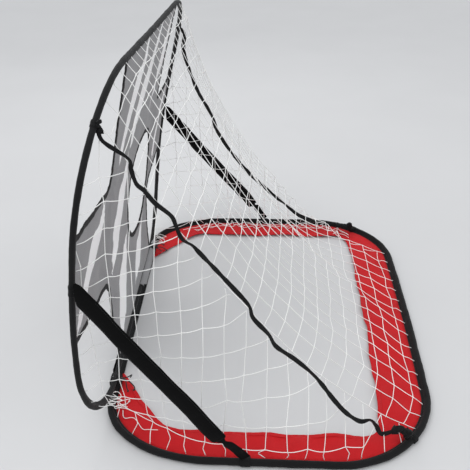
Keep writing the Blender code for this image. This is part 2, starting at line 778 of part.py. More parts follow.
def head_line(x, off=0.0145):
    """A point just behind the top edge of the standing hoop."""
    over = max(abs(x) - (HALF_U - UPRIGHT_HEAD), 0.0)
    v = (TOP_V - UPRIGHT_HEAD + sqrt(UPRIGHT_HEAD ** 2 - over ** 2)
         + UPRIGHT_DIP * cos(pi / 2 * x / (HALF_U + GROUND_R)))
    return on_upright(x, v, off)


def rear_line(x, inward=0.020, z=0.020):
    """A point just inside the back edge of the ground hoop."""
    over = max(abs(x) - (HALF_G - GROUND_REAR), 0.0)
    y = (DEPTH_LINE - GROUND_R - GROUND_REAR + sqrt(GROUND_REAR ** 2 - over ** 2)
         + GROUND_BULGE * cos(pi / 2 * x / (HALF_G + GROUND_R)))
    return Vector((x, y - inward, z))


grid = []
for i in range(11):
    u = i / 10
    x_top = CREASE["left"][0].x + (CREASE["right"][0].x - CREASE["left"][0].x) * u
    x_low = NET_FOLD["left"][0].x + (NET_FOLD["right"][0].x - NET_FOLD["left"][0].x) * u
    drawn_in = 1 + 7.9 * (1 - min(u / 0.45, 1))
    inward = 0.012 * (1 - 2 * u)
    head, low = head_line(x_top + inward), rear_line(x_low + inward)
    row = []
    for j in range(11):
        f = j / 10
        p = fold_line("left", f).lerp(fold_line("right", f), u)
        first = fold_line("left", 0).lerp(fold_line("right", 0), u)
        last = fold_line("left", 1).lerp(fold_line("right", 1), u)
        p += (head - first) * (1 - f) ** drawn_in + (low - last) * f
        p.z = max(p.z, 0.012)
        row.append(p)
    grid.append(row)
bm = bmesh.new()
thick_grid(bm, grid, NET_T)
finish("net_back", bm, "base", fabric("net_back", (0.80, 0.80, 0.80)), smooth=True)

for side, sx in (("right", 1), ("left", -1)):
    path, across = [], []
    for i in range(17):
        f = 0.025 + 0.945 * i / 16
        p = crease(side, f)
        p.x -= sx * (0.016 if side == "right" else 0.020)
        p.y -= 0.006
        slack = 0.0182 - 0.0084 * f if side == "right" else 0.24 * (1 - f) ** 1.15 + 0.06 * f ** 4
        p.z -= 4 * f * (1 - f) * slack + 0.008 * (1 - f)
        p.z = max(p.z, 0.0095 + 0.012 * max(0.0, (0.985 - f)))
        path.append(p)
        across.append(Vector((sx * 0.9, -0.3 * sin(9 * f), 0.5 * cos(7 * f))))
    bm = bmesh.new()
    strip(bm, path, across, 0.012, 0.0015)
    finish(f"strap_{side}", bm, "base", fabric(f"strap_{side}"))
    a, b, _ = CREASE[side]
    make_cuff(f"strap_top_knot_{side}", UPRIGHT_LINE, lambda p, c=a: (p - c).length,
              0.014, UPRIGHT_R + 0.0006, UPRIGHT_R + 0.0030, "upright", fabric(f"strap_top_knot_{side}"))
    make_cuff(f"strap_base_knot_{side}", GROUND_LINE, lambda p, c=b: (p - c).length,
              0.014, GROUND_R + 0.0006, GROUND_R + 0.0026, "base",
              fabric(f"strap_base_knot_{side}"), lips=(-36, 188))

# ----------------------------------------------- parents, on the joint axes
low_y = min(v.co.y for obj, _ in OBJECTS for v in obj.data.vertices)
high_y = max(v.co.y for obj, _ in OBJECTS for v in obj.data.vertices)
CENTRE = Vector((0, (low_y + high_y) / 2, 0))


def empty(name, at, parent=None):
    e = bpy.data.objects.new(name, None)
    bpy.context.scene.collection.objects.link(e)
    e.parent = parent
    e.location = at - (EMPTY_AT[parent.name] if parent else Vector())
    EMPTY_AT[name] = at
    return e


EMPTY_AT = {}
PARENTS = {"base": empty("goal_origin", CENTRE * 0)}
PARENTS["upright"] = empty("fold_axis", Vector((0, mouth(0), HINGE_Z)) - CENTRE, PARENTS["base"])
for side, (top, along, wide) in STRUT_BODIES.items():
    swing = empty(f"swing_axis_{side}", top - CENTRE, PARENTS["upright"])
    sx = 1 if side == "right" else -1
    elbow = top + along * ELBOW + Vector((sx * (STRUT_HALF_T + 0.0006), 0, 0))
    PARENTS[f"strut_upper_{side}"] = swing
    PARENTS[f"strut_lower_{side}"] = empty(f"elbow_axis_{side}", elbow - CENTRE, swing)

for obj, body in OBJECTS:
    parent = PARENTS[body]
    obj.data.transform(Matrix.Translation(-CENTRE - EMPTY_AT[parent.name]))
    obj.parent = parent
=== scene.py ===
"""Looks of a folding pop-up soccer goal: two sleeved hoops, a target sheet, a
ground border, a knotted net, two side struts and two crossing straps.

Everything is worked out in the goal's own plan (x across the mouth, y away from
it, z up) and then shifted by CENTRE_Y, so that the part is centred.
"""
from math import cos, pi, radians, sin, sqrt

import bpy
import numpy as np
from mathutils import Matrix, Vector
from mathutils.geometry import delaunay_2d_cdt


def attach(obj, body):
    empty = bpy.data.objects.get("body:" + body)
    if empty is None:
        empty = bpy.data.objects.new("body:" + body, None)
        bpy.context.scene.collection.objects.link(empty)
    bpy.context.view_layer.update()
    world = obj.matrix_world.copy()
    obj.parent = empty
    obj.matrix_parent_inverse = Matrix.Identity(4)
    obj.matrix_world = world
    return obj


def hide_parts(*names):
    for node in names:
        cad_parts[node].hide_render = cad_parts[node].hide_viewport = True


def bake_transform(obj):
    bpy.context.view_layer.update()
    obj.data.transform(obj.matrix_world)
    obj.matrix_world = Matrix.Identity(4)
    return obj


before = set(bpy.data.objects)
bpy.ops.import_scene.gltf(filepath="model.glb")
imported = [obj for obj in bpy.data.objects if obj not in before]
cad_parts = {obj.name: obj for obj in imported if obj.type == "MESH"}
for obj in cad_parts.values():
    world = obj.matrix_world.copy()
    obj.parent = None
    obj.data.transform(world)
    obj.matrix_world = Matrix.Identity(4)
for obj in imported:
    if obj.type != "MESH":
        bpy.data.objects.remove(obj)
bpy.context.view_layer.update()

CENTRE_Y = 0.46866658
RNG = np.random.default_rng(11)

# ------------------------------------------------- dimensions of the CAD model
WIDTH = 1.220
DEPTH_LINE = 0.900
MOUTH_Y = 0.0673
HEIGHT = 0.8914
GROUND_R = 0.0105
UPRIGHT_R = 0.0080
FLAT = cos(radians(22.5))
GAP = 0.0004
GROUND_FRONT = (0.1934, 0.2632)
GROUND_REAR = 0.250
GROUND_BULGE = 0.0145
UPRIGHT_FOOT = (0.2634, 0.2407)
UPRIGHT_HEAD = 0.2985
UPRIGHT_DIP = -0.0085
RACK_FOOT = -0.038
RACK_HEAD = 0.050
LEAN = (-0.1274, 0.5778, -0.152, -0.0853)
GROUND_Z = GROUND_R * FLAT
HINGE_Z = 2 * GROUND_Z + UPRIGHT_R + GAP
HALF_G = WIDTH / 2 - GROUND_R
HALF_U = WIDTH / 2 - UPRIGHT_R
TOP_V = HEIGHT - 2 * UPRIGHT_R
STRUT_WIDTH = 0.042
STRUT_HALF_T = 0.0052
STRUT_X = HALF_U + 0.0104 + 0.0006 + STRUT_HALF_T
SLEEVE_END = 0.504
STRUT = {"right": (0.075, 0.514, 0.427), "left": (0.074, 0.460, 0.451)}
SIDES = (("right", 1), ("left", -1))
NOTCH_R = 0.055
NOTCHES = {
    "top_right": (0.268, 0.542, 0.578),
    "bottom_right": (0.264, 0.275, 0.326),
    "top_left": (-0.338, 0.556, 0.562),
    "bottom_left": (-0.325, 0.275, 0.318),
}
CENTRE_HOLE = (-0.155, 0.357, 0.170, 0.160)
SHEET_EDGE = UPRIGHT_R * FLAT + GAP
SIDE_X = HALF_U - SHEET_EDGE
CREASE = {
    "right": (np.array((0.503, 0.132, 0.815)), np.array((0.509, 0.836, GROUND_Z)), 0.085),
    "left": (np.array((-0.542, 0.156, 0.773)), np.array((-0.545, 0.790, GROUND_Z)), 0.115),
}


def rack(x, foot, head, rise):
    side = 0.5 - x / WIDTH
    return side * (foot * (1 - rise) + head * rise)


def lean_profile(steps=90):
    rows = [(0.0, 0.0, 0.0)]
    for k in range(steps):
        t = (k + 0.5) / steps
        a = LEAN[0] + LEAN[1] * t + LEAN[2] * t * t + LEAN[3] * t ** 3
        v, y, z = rows[-1]
        d = TOP_V / steps
        rows.append((v + d, y + d * sin(a), z + d * cos(a)))
    return np.array(rows)


PROFILE = lean_profile()


def on_ground(x, y, z=GROUND_Z):
    x, y = np.broadcast_arrays(np.asarray(x, float), np.asarray(y, float))
    return np.stack([x, y + rack(x, RACK_FOOT, 0.0, y / DEPTH_LINE),
                     np.broadcast_to(np.asarray(z, float), x.shape)], -1)


def on_upright(x, v, off=0.0):
    """Points of the standing hoop's bowed surface, off along its back normal."""
    x, v, off = np.broadcast_arrays(np.asarray(x, float), np.asarray(v, float), np.asarray(off, float))
    t = np.clip(v / TOP_V, 0, 1)
    a = LEAN[0] + LEAN[1] * t + LEAN[2] * t * t + LEAN[3] * t ** 3
    inside = np.clip(v, 0, TOP_V)
    over = v - inside
    y = np.interp(inside, PROFILE[:, 0], PROFILE[:, 1]) + over * np.sin(a)
    z = np.interp(inside, PROFILE[:, 0], PROFILE[:, 2]) + over * np.cos(a)
    shift = rack(x, RACK_FOOT, RACK_HEAD, v / TOP_V)
    return np.stack([x, MOUTH_Y + y + shift + off * np.cos(a), HINGE_Z + z - off * np.sin(a)], -1)


def plan(half, y0, y1, front, rear, bulge, fine=10):
    """Centre line of a hoop laid flat, from the middle of its far edge round to it again."""
    fx, fy = front
    points = []

    def arc(cx, cy, rx, ry, start):
        n = 5 * fine
        for k in range(n):
            a = radians(start + 90 * k / n)
            points.append((cx + rx * cos(a), cy + ry * sin(a)))

    def line(a, b, n):
        for k in range(n):
            points.append((a[0] + (b[0] - a[0]) * k / n, a[1] + (b[1] - a[1]) * k / n))

    line((0.0, y1), (-(half - rear), y1), 4 * fine)
    arc(-(half - rear), y1 - rear, rear, rear, 90)
    line((-half, y1 - rear), (-half, y0 + fy), 4 * fine)
    arc(-(half - fx), y0 + fy, fx, fy, 180)
    line((-(half - fx), y0), (half - fx, y0), 8 * fine)
    arc(half - fx, y0 + fy, fx, fy, 270)
    line((half, y0 + fy), (half, y1 - rear), 4 * fine)
    arc(half - rear, y1 - rear, rear, rear, 0)
    line((half - rear, y1), (0.0, y1), 4 * fine)
    mid = (y0 + y1) / 2
    p = np.array(points)
    lift = np.where(p[:, 1] > mid, bulge * (p[:, 1] - mid) / (y1 - mid)
                    * np.cos(pi / 2 * p[:, 0] / (half + GROUND_R)), 0.0)
    p[:, 1] += lift
    return p


def mouth(x):
    return float(on_ground(x, MOUTH_Y)[..., 1])


def head_v(x, inside=SHEET_EDGE):
    """The top edge of the sheet, just inside the hoop and round its corners."""
    over = np.maximum(np.abs(x) - (HALF_U - UPRIGHT_HEAD), 0.0)
    r = UPRIGHT_HEAD - inside
    return (TOP_V - UPRIGHT_HEAD + np.sqrt(np.maximum(r * r - over * over, 0))
            + UPRIGHT_DIP * np.cos(pi / 2 * x / (HALF_U + GROUND_R)))


def foot_v(x, inside=SHEET_EDGE):
    """The foot of the sheet, just inside the hoop and round its lower corners."""
    fx, fy = UPRIGHT_FOOT
    over = np.clip((np.abs(x) - (HALF_U - fx)) / (fx - inside), 0, 1)
    return fy - (fy - inside) * np.sqrt(1 - over * over)


def side_x(v, inside=0.0):
    """How far out the standing hoop's side is at this height, following its corners."""
    fx, fy = UPRIGHT_FOOT
    v = np.asarray(v, float)
    low = np.clip((fy - v) / (fy - inside), 0, 1)
    high = np.clip((v - (TOP_V - UPRIGHT_HEAD)) / (UPRIGHT_HEAD - inside), 0, 1)
    return np.where(v < fy, HALF_U - fx + (fx - inside) * np.sqrt(1 - low ** 2),
                    np.where(v > TOP_V - UPRIGHT_HEAD,
                             HALF_U - UPRIGHT_HEAD + (UPRIGHT_HEAD - inside) * np.sqrt(1 - high ** 2),
                             HALF_U - inside))


# ----------------------------------------------------------------- mesh tools
def put(name, verts, faces, material, uv=None, smooth=True):
    """A mesh object from points of the plan; uv is one pair for each corner of each face."""
    v = np.array(verts, float)
    v[:, 1] -= CENTRE_Y
    mesh = bpy.data.meshes.new(name)
    mesh.from_pydata(v.tolist(), [], [list(map(int, f)) for f in faces])
    if uv is not None:
        layer = mesh.uv_layers.new(name="cloth")
        layer.data.foreach_set("uv", np.asarray(uv, np.float32).ravel())
    mesh.materials.append(material)
    if smooth:
        mesh.shade_smooth()
    obj = bpy.data.objects.new(name, mesh)
    bpy.context.scene.collection.objects.link(obj)
    return obj


def along(points):
    """Running length at each point of a path."""
    d = np.linalg.norm(np.diff(points, axis=0), axis=1)
    return np.concatenate([[0.0], np.cumsum(d)])


def resample(points, step=None, count=None, closed=False):
    points = np.asarray(points, float)
    if closed:
        points = np.vstack([points, points[:1]])
    s = along(points)
    n = count or max(int(round(s[-1] / step)), 2)
    at = np.linspace(0, s[-1], n + 1)
    out = np.stack([np.interp(at, s, points[:, k]) for k in range(points.shape[1])], 1)
    return out[:-1] if closed else out


def smooth_path(points, step, passes=2):
    """A rounded curve through a few points, read at an even step."""
    p = np.asarray(points, float)
    ext = np.vstack([2 * p[0] - p[1], p, 2 * p[-1] - p[-2]])
    out = []
    for i in range(1, len(ext) - 2):
        a, b, c, d = ext[i - 1], ext[i], ext[i + 1], ext[i + 2]
        n = max(int(np.linalg.norm(c - b) / step * 2), 2)
        for k in range(n):
            t = k / n
            out.append(0.5 * (2 * b + (c - a) * t + (2 * a - 5 * b + 4 * c - d) * t * t
                              + (3 * b - a - 3 * c + d) * t ** 3))
    out.append(p[-1])
    return resample(np.array(out), step=step)


def tangents(p, closed=False):
    if closed:
        t = np.roll(p, -1, 0) - np.roll(p, 1, 0)
    else:
        t = np.gradient(p, axis=0)
    return t / np.maximum(np.linalg.norm(t, axis=1, keepdims=True), 1e-12)


def carried(p, first=(0, 0, 1)):
    """Frames carried along an open path without twist: tangent, side, up."""
    t = tangents(p)
    up = np.array(first, float)
    if abs(up @ t[0]) > 0.95:
        up = np.array((1.0, 0.2, 0.1))
    ups = np.empty_like(p)
    for i in range(len(p)):
        up = up - t[i] * (up @ t[i])
        up /= max(np.linalg.norm(up), 1e-9)
        ups[i] = up
    return t, np.cross(t, ups), ups


def loft(rows, wrap_section=True, wrap_path=False, us=None, vs=None, cap=False):
    """Quads between rows of points (n, m, 3), with uv in metres; returns verts, faces, uv."""
    rows = np.asarray(rows, float)
    n, m = rows.shape[:2]
    if us is None:
        mid = rows.mean(1)
        us = along(np.vstack([mid, mid[:1]]) if wrap_path else mid)
    if vs is None:
        ringed = np.concatenate([rows[:1], rows[:1, :1]], 1)[0] if wrap_section else rows[0]
        vs = along(ringed)
    idx = np.arange(n * m).reshape(n, m)
    faces, uv = [], []
    for i in range(n if wrap_path else n - 1):
        i2 = (i + 1) % n
        for j in range(m if wrap_section else m - 1):
            j2 = (j + 1) % m
            faces.append((idx[i, j], idx[i, j2], idx[i2, j2], idx[i2, j]))
            uv += [(us[i], vs[j]), (us[i], vs[j + 1]), (us[i + 1], vs[j + 1]), (us[i + 1], vs[j])]
    verts = rows.reshape(-1, 3)
    if cap and not wrap_path:
        for row, order in ((0, 1), (n - 1, -1)):
            centre = rows[row].mean(0)
            verts = np.vstack([verts, centre])
            c = len(verts) - 1
            for j in range(m):
                tri = (idx[row, (j + 1) % m], idx[row, j], c)[::order]
                faces.append(tri)
                uv += [(us[row], vs[j])] * 3
    return verts, faces, uv


def joined(parts):
    """Several (verts, faces, uv) as one."""
    verts, faces, uv, n = [], [], [], 0
    for v, f, u in parts:
        verts.append(np.asarray(v, float))
        faces += [tuple(int(k) + n for k in face) for face in f]
        uv += list(u)
        n += len(v)
    return np.vstack(verts), faces, uv


# ------------------------------------------------------------------ materials
class Look:
    """One procedural material, its nodes added step by step."""

    def __init__(self, name, roughness, metallic=0.0, sheen=0.0, specular=0.3):
        self.mat = bpy.data.materials.new(name)
        self.mat.use_nodes = True
        self.tree = self.mat.node_tree
        self.shader = self.tree.nodes["Principled BSDF"]
        self.shader.inputs["Roughness"].default_value = roughness
        self.shader.inputs["Metallic"].default_value = metallic
        self.shader.inputs["Sheen Weight"].default_value = sheen
        self.shader.inputs["Sheen Roughness"].default_value = 0.5
        self.shader.inputs["Specular IOR Level"].default_value = specular
        self.height = None

    def node(self, kind, **values):
        n = self.tree.nodes.new(kind)
        for key, value in values.items():
            if key in n.inputs:
                n.inputs[key].default_value = value
            else:
                setattr(n, key, value)
        return n

    def link(self, a, b):
        self.tree.links.new(a, b)

    def coords(self, kind):
        if kind == "cloth":
            return self.node("ShaderNodeUVMap", uv_map="cloth").outputs["UV"]
        return self.node("ShaderNodeTexCoord").outputs["Object"]

    def noise(self, scale, detail=3.0, kind="Object", rough=0.55):
        n = self.node("ShaderNodeTexNoise", Scale=scale, Detail=detail, Roughness=rough)
        self.link(self.coords(kind), n.inputs["Vector"])
        return n.outputs["Fac"]

    def bands(self, period, direction="X", kind="cloth"):
        n = self.node("ShaderNodeTexWave", wave_type="BANDS", bands_direction=direction,
                      Scale=0.314159 / period, Distortion=0.0)
        self.link(self.coords(kind), n.inputs["Vector"])
        return n.outputs["Fac"]

    def maths(self, op, a, b=0.5, c=None):
        n = self.node("ShaderNodeMath", operation=op)
        for k, x in enumerate((a, b, c)):
            if x is None:
                continue
            if isinstance(x, (int, float)):
                n.inputs[k].default_value = x
            else:
                self.link(x, n.inputs[k])
        return n.outputs[0]

    def ramp(self, fac, stops):
        n = self.node("ShaderNodeValToRGB")
        self.link(fac, n.inputs["Fac"])
        e = n.color_ramp.elements
        while len(e) < len(stops):
            e.new(0.5)
        for k, (at, colour) in enumerate(stops):
            e[k].position = at
            e[k].color = (*colour, 1.0)
        return n.outputs["Color"]

    def mix(self, fac, a, b):
        n = self.node("ShaderNodeMix", data_type="RGBA")
        for k, x in ((0, fac), (6, a), (7, b)):
            if isinstance(x, (int, float)):
                n.inputs[k].default_value = x
            elif isinstance(x, tuple):
                n.inputs[k].default_value = (*x, 1.0)
            else:
                self.link(x, n.inputs[k])
        return n.outputs[2]

    def colour(self, socket):
        self.link(socket, self.shader.inputs["Base Color"])

    def bump(self, height, distance, strength=0.6):
        n = self.node("ShaderNodeBump", Strength=strength, Distance=distance)
        self.link(height, n.inputs["Height"])
        if self.height is not None:
            self.link(self.height, n.inputs["Normal"])
        self.height = n.outputs["Normal"]
        self.link(self.height, self.shader.inputs["Normal"])

    def rough(self, socket, low, high):
        n = self.node("ShaderNodeMapRange")
        self.link(socket, n.inputs["Value"])
        n.inputs["To Min"].default_value = low
        n.inputs["To Max"].default_value = high
        self.link(n.outputs["Result"], self.shader.inputs["Roughness"])


def shades(colour, *factors):
    return [tuple(min(c * f, 1.0) for c in colour) for f in factors]


def woven(name, colour, period=0.0011, spread=0.25, roughness=0.8, sheen=0.25, depth=0.00025,
          grime=0.0, kind="cloth"):
    """Plain-woven cloth: crossing threads, slow shade changes and fine slubs."""
    look = Look(name, roughness, sheen=sheen)
    across, down = look.bands(period, "X", kind), look.bands(period, "Y", kind)
    weave = look.maths("MULTIPLY", across, down)
    slow, fine = look.noise(7.0), look.noise(420.0, 2.0)
    tone = look.maths("ADD", look.maths("MULTIPLY", slow, 0.65), look.maths("MULTIPLY", fine, 0.35))
    dark, light = shades(colour, 1 - spread, 1 + spread)
    base = look.ramp(tone, [(0.30, dark), (0.70, light)])
    thread = shades(colour, 1 - 0.35 * spread - 0.08)[0]
    look.colour(look.mix(look.maths("MULTIPLY", weave, 0.35), base, thread))
    look.rough(slow, roughness - 0.06, roughness + 0.08)
    look.bump(weave, depth)
    look.bump(look.noise(38.0, 3.0), 0.0006, 0.35)
    return look


def webbing(name, colour, period=0.0022, roughness=0.75):
    """Woven tape: chevron ribs along it and slow changes of tone."""
    look = Look(name, roughness, sheen=0.05)
    ribs = look.node("ShaderNodeTexWave", wave_type="BANDS", bands_direction="DIAGONAL",
                     Scale=0.314159 / period, Distortion=0.6)
    look.link(look.coords("cloth"), ribs.inputs["Vector"])
    slow = look.noise(16.0)
    dark, light = shades(colour, 0.7, 1.35)
    base = look.ramp(look.maths("ADD", look.maths("MULTIPLY", ribs.outputs["Fac"], 0.45),
                                look.maths("MULTIPLY", slow, 0.6)), [(0.3, dark), (0.8, light)])
    look.colour(base)
    look.rough(slow, roughness - 0.08, roughness + 0.08)
    look.bump(ribs.outputs["Fac"], 0.0004)
    return look


def twisted(name, colour, period=0.0034, depth=0.0006, spread=0.12, roughness=0.7):
    """Twisted cord: slanting strands round it, and the odd soiled stretch."""
    look = Look(name, roughness, sheen=0.15)
    lay = look.node("ShaderNodeTexWave", wave_type="BANDS", bands_direction="DIAGONAL",
                    Scale=0.314159 / period, Distortion=0.2)
    look.link(look.coords("cloth"), lay.inputs["Vector"])
    slow = look.noise(9.0)
    dark, light = shades(colour, 1 - spread, 1 + 0.5 * spread)
    base = look.ramp(slow, [(0.35, dark), (0.65, light)])
    look.colour(look.mix(look.maths("MULTIPLY", lay.outputs["Fac"], 0.3), base, shades(colour, 0.8)[0]))
    look.rough(slow, roughness - 0.05, roughness + 0.1)
    look.bump(lay.outputs["Fac"], depth)
    return look


def metal(name, colour, roughness, lines=0.0012):
    """Drawn steel: slow changes of tone, with spots of dulled finish; lines is not used."""
    look = Look(name, roughness, metallic=1.0)
    slow, fine = look.noise(24.0), look.noise(300.0, 4.0)
    dark, light = shades(colour, 0.75, 1.2)
    look.colour(look.ramp(slow, [(0.35, dark), (0.7, light)]))
    look.rough(fine, roughness - 0.08, roughness + 0.18)
    look.bump(fine, 0.00012, 0.4)
    return look


BLACK = (0.020, 0.020, 0.0215)
sleeve_look = woven("sleeve_cloth", (0.0105, 0.0106, 0.0112), spread=0.35, sheen=0.08)
base_sleeve_look = woven("ground_sleeve_cloth", (0.0085, 0.0086, 0.0092), spread=0.35, sheen=0.06)
strut_look = woven("strut_cloth", (0.0028, 0.0028, 0.0030), spread=0.35, roughness=0.92, sheen=0.02, period=0.0014)
tape_look = webbing("edge_tape", (0.0085, 0.0085, 0.0090))
web_look = webbing("black_web", (0.0062, 0.0062, 0.0066), 0.0026)
strap_look = webbing("strap_web", (0.0075, 0.0075, 0.0080), 0.0020)
thread_look = twisted("black_thread", (0.026, 0.026, 0.027), 0.0006, 0.0001)
red_thread_look = twisted("red_thread", (0.42, 0.02, 0.03), 0.0006, 0.0001)
tie_look = twisted("black_cord", (0.014, 0.014, 0.015), 0.0024)
net_look = twisted("net_cord", (0.90, 0.90, 0.885))
wire_look = metal("spring_steel", (0.35, 0.36, 0.38), 0.35)
ferrule_look = metal("pressed_ferrule", (0.55, 0.56, 0.58), 0.3)
pole_look = Look("pole_coat", 0.42)
for look, shine in ((sleeve_look, 0.12), (base_sleeve_look, 0.12), (strut_look, 0.10), (tape_look, 0.15),
                    (web_look, 0.15), (strap_look, 0.15)):
    look.shader.inputs["Specular IOR Level"].default_value = shine
pole_look.colour(pole_look.ramp(pole_look.noise(30.0), [(0.3, (0.012, 0.012, 0.012)), (0.7, (0.03, 0.03, 0.031))]))
pole_look.rough(pole_look.noise(160.0, 4.0), 0.34, 0.55)
pole_look.bump(pole_look.noise(500.0, 3.0), 0.0001, 0.4)

red_look = woven("red_cloth", (0.530, 0.0042, 0.0085), period=0.0013, spread=0.12, roughness=0.78, sheen=0.02)
grey_look = woven("grey_cloth", (0.255, 0.255, 0.262), period=0.0012, spread=0.10, roughness=0.7, sheen=0.1)


# ------------------------------------------------------ stage, light, camera
def stage_and_camera():
    verts, faces = [], []
    n, half = 24, 45.0
    for i in range(n + 1):
        for j in range(n + 1):
            verts.append((-half + 2 * half * i / n, -half + 2 * half * j / n, -0.0006))
    for i in range(n):
        for j in range(n):
            a = i * (n + 1) + j
            faces.append((a, a + n + 1, a + n + 2, a + 1))
    look = Look("floor_paint", 0.9, specular=0.1)
    look.colour(look.ramp(look.noise(2.0), [(0.3, (0.600, 0.601, 0.606)), (0.7, (0.615, 0.616, 0.621))]))
    floor = put("floor", verts, faces, look.mat)

    world = bpy.data.worlds.new("studio")
    world.use_nodes = True
    world.node_tree.nodes["Background"].inputs["Color"].default_value = (0.965, 0.98, 1.0, 1.0)
    world.node_tree.nodes["Background"].inputs["Strength"].default_value = 0.98
    bpy.context.scene.world = world
    for name, at, aim, size, power in (
            ("key", (0.6, -1.2, 3.2), (0.0, 0.0, 0.3), 2.6, 26.0),
            ("fill", (2.6, 2.2, 2.4), (0.0, 0.1, 0.2), 2.4, 9.0),
            ("rim", (-2.6, -0.6, 2.0), (0.0, 0.0, 0.5), 1.8, 6.0)):
        light = bpy.data.lights.new(name, "AREA")
        light.shape, light.size, light.energy = "DISK", size, power
        lamp = bpy.data.objects.new(name, light)
        lamp.location = at
        lamp.rotation_euler = (Vector(aim) - Vector(at)).to_track_quat("-Z", "Y").to_euler()
        bpy.context.scene.collection.objects.link(lamp)

    data = bpy.data.cameras.new("camera")
    data.sensor_width, data.lens = 36.0, 50.675
    data.clip_start, data.clip_end = 0.05, 200.0
    cam = bpy.data.objects.new("camera", data)
    right = Vector((-0.05764, 0.99828, -0.01075))
    up = Vector((-0.49730, -0.01938, 0.86736))
    back = Vector((0.86566, 0.05534, 0.49756))
    turn = Matrix((right, up, back)).transposed().to_4x4()
    cam.matrix_world = Matrix.Translation((1.70024, 0.009913, 1.26616)) @ turn
    bpy.context.scene.collection.objects.link(cam)
    bpy.context.scene.camera = cam
    bpy.context.scene.view_settings.view_transform = "Standard"


stage_and_camera()


# -------------------------------------------------------------- sewn details
def hash_wave(s, seed, periods, amps):
    """A smooth irregular wave along s, the same each run."""
    out = np.zeros_like(np.asarray(s, float))
    for k, (p, a) in enumerate(zip(periods, amps)):
        phase = (seed * 12.9898 + k * 78.233) % (2 * pi)
        out = out + a * np.sin(2 * pi * s / p + phase + 0.6 * np.sin(2 * pi * s / (p * 2.7) + phase * 3))
    return out


def humps(centres, t, side, up, length, width, height):
    """Small oval stitches, each lying along t and standing up off the cloth."""
    ring = []
    for u, r in ((-0.5, 0.35), (-0.25, 0.9), (0.25, 0.9), (0.5, 0.35)):
        for a in (0, 60, 120, 180, 240, 300):
            ring.append((u * length, r * width * cos(radians(a)), r * height * sin(radians(a))))
    ring = np.array(ring)
    pts = (centres[:, None, :] + t[:, None, :] * ring[None, :, 0:1]
           + side[:, None, :] * ring[None, :, 1:2] + up[:, None, :] * ring[None, :, 2:3])
    base = [(6 * i + j, 6 * i + (j + 1) % 6, 6 * (i + 1) + (j + 1) % 6, 6 * (i + 1) + j)
            for i in range(3) for j in range(6)]
    base += [(5, 4, 3, 2, 1, 0), (18, 19, 20, 21, 22, 23)]
    faces, uv = [], []
    flat_uv = []
    for f in base:
        flat_uv += [(ring[k, 0], ring[k, 1]) for k in f]
    for i in range(len(centres)):
        faces += [tuple(k + 24 * i for k in f) for f in base]
        uv += flat_uv
    return pts.reshape(-1, 3), faces, uv


def stitched(path, up, pitch=0.0042, length=0.0029, width=0.00045, height=0.00035, closed=False):
    """A row of stitches along a path; up is the cloth's normal at each point."""
    path, up = np.asarray(path, float), np.asarray(up, float)
    both = np.hstack([path, np.broadcast_to(up, path.shape)])
    ext = np.vstack([both, both[:1]]) if closed else both
    s = along(ext[:, :3])
    at = np.arange(pitch / 2, s[-1] - pitch / 2, pitch)
    c = np.stack([np.interp(at, s, ext[:, k]) for k in range(6)], 1)
    t = tangents(c[:, :3])
    n = c[:, 3:] / np.maximum(np.linalg.norm(c[:, 3:], axis=1, keepdims=True), 1e-9)
    side = np.cross(n, t)
    return humps(c[:, :3], t, side, n, length, width, height)


def hoop_frames(p, k, closed=True):
    t = tangents(p, closed)
    k = k - t * (k * t).sum(1, keepdims=True)
    k /= np.linalg.norm(k, axis=1, keepdims=True)
    o = np.cross(t, k)
    sign = np.sign(((p - p.mean(0)) * o).sum(1))
    flip = 1.0 if sign.sum() > 0 else -1.0
    return t, o * flip, k


def sleeve_rows(p, k, r_out, r_k, flange, drop, seed, around=18):
    """A cloth sleeve round a wire, its two lips sewn flat together on the inward side."""
    t, o, k = hoop_frames(p, k)
    s = along(np.vstack([p, p[:1]]))[:-1]
    puff = 1 + hash_wave(s, seed, (0.071, 0.029, 0.163), (0.022, 0.014, 0.018))
    lean = hash_wave(s, seed + 5, (0.12, 0.047, 0.31), (0.0003, 0.0002, 0.0004))
    rows = []
    angles = np.linspace(-142, 142, around)
    for a in angles:
        ca, sa = cos(radians(a)), sin(radians(a))
        oo = np.sign(ca) * abs(ca) ** 0.9 * r_out * puff
        kk = np.sign(sa) * abs(sa) ** 0.85 * r_k * (puff if abs(a) < 120 else 1.0)
        shrink = np.clip((abs(a) - 100) / 42, 0, 1)
        kk = kk * (1 - 0.35 * shrink) + drop * shrink
        kk = np.broadcast_to(kk, s.shape)
        rows.append(p + o * (oo + lean)[:, None] + k * kk[:, None])
    for out, kk in ((-r_out - 0.0004, 0.0019), (-r_out - flange, 0.0016), (-r_out - flange - 0.0003, 0.0),
                    (-r_out - flange, -0.0016), (-r_out - 0.0004, -0.0019)):
        rows.append(p + o * out + k * (kk + drop))
    rows = np.stack(rows, 1)
    seam = p + o * (-r_out - flange * 0.62)
    return rows, seam, o, k


def make_sleeve(name, p, k, r_out, r_k, flange, drop, look, thread, body, node, seed):
    rows, seam, o, kk = sleeve_rows(p, k, r_out, r_k, flange, drop, seed)
    v, f, uv = loft(rows, wrap_path=True)
    piece = put(name, v, f, look.mat, uv)
    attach(piece, body)
    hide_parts(node)
    parts = [stitched(seam + kk * (drop + 0.0019), kk, closed=True)]
    parts.append(stitched(seam + kk * (drop - 0.0019), -kk, closed=True))
    v, f, uv = joined(parts)
    thread_piece = put(name + "_stitches", v, f, thread.mat, uv)
    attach(thread_piece, body)
    return piece


def ground_centre(step=0.006):
    p = plan(HALF_G, MOUTH_Y, DEPTH_LINE - GROUND_R, GROUND_FRONT, GROUND_REAR, GROUND_BULGE)
    line = resample(on_ground(p[:, 0], p[:, 1]), step=step, closed=True)
    return line, np.tile((0.0, 0.0, 1.0), (len(line), 1))


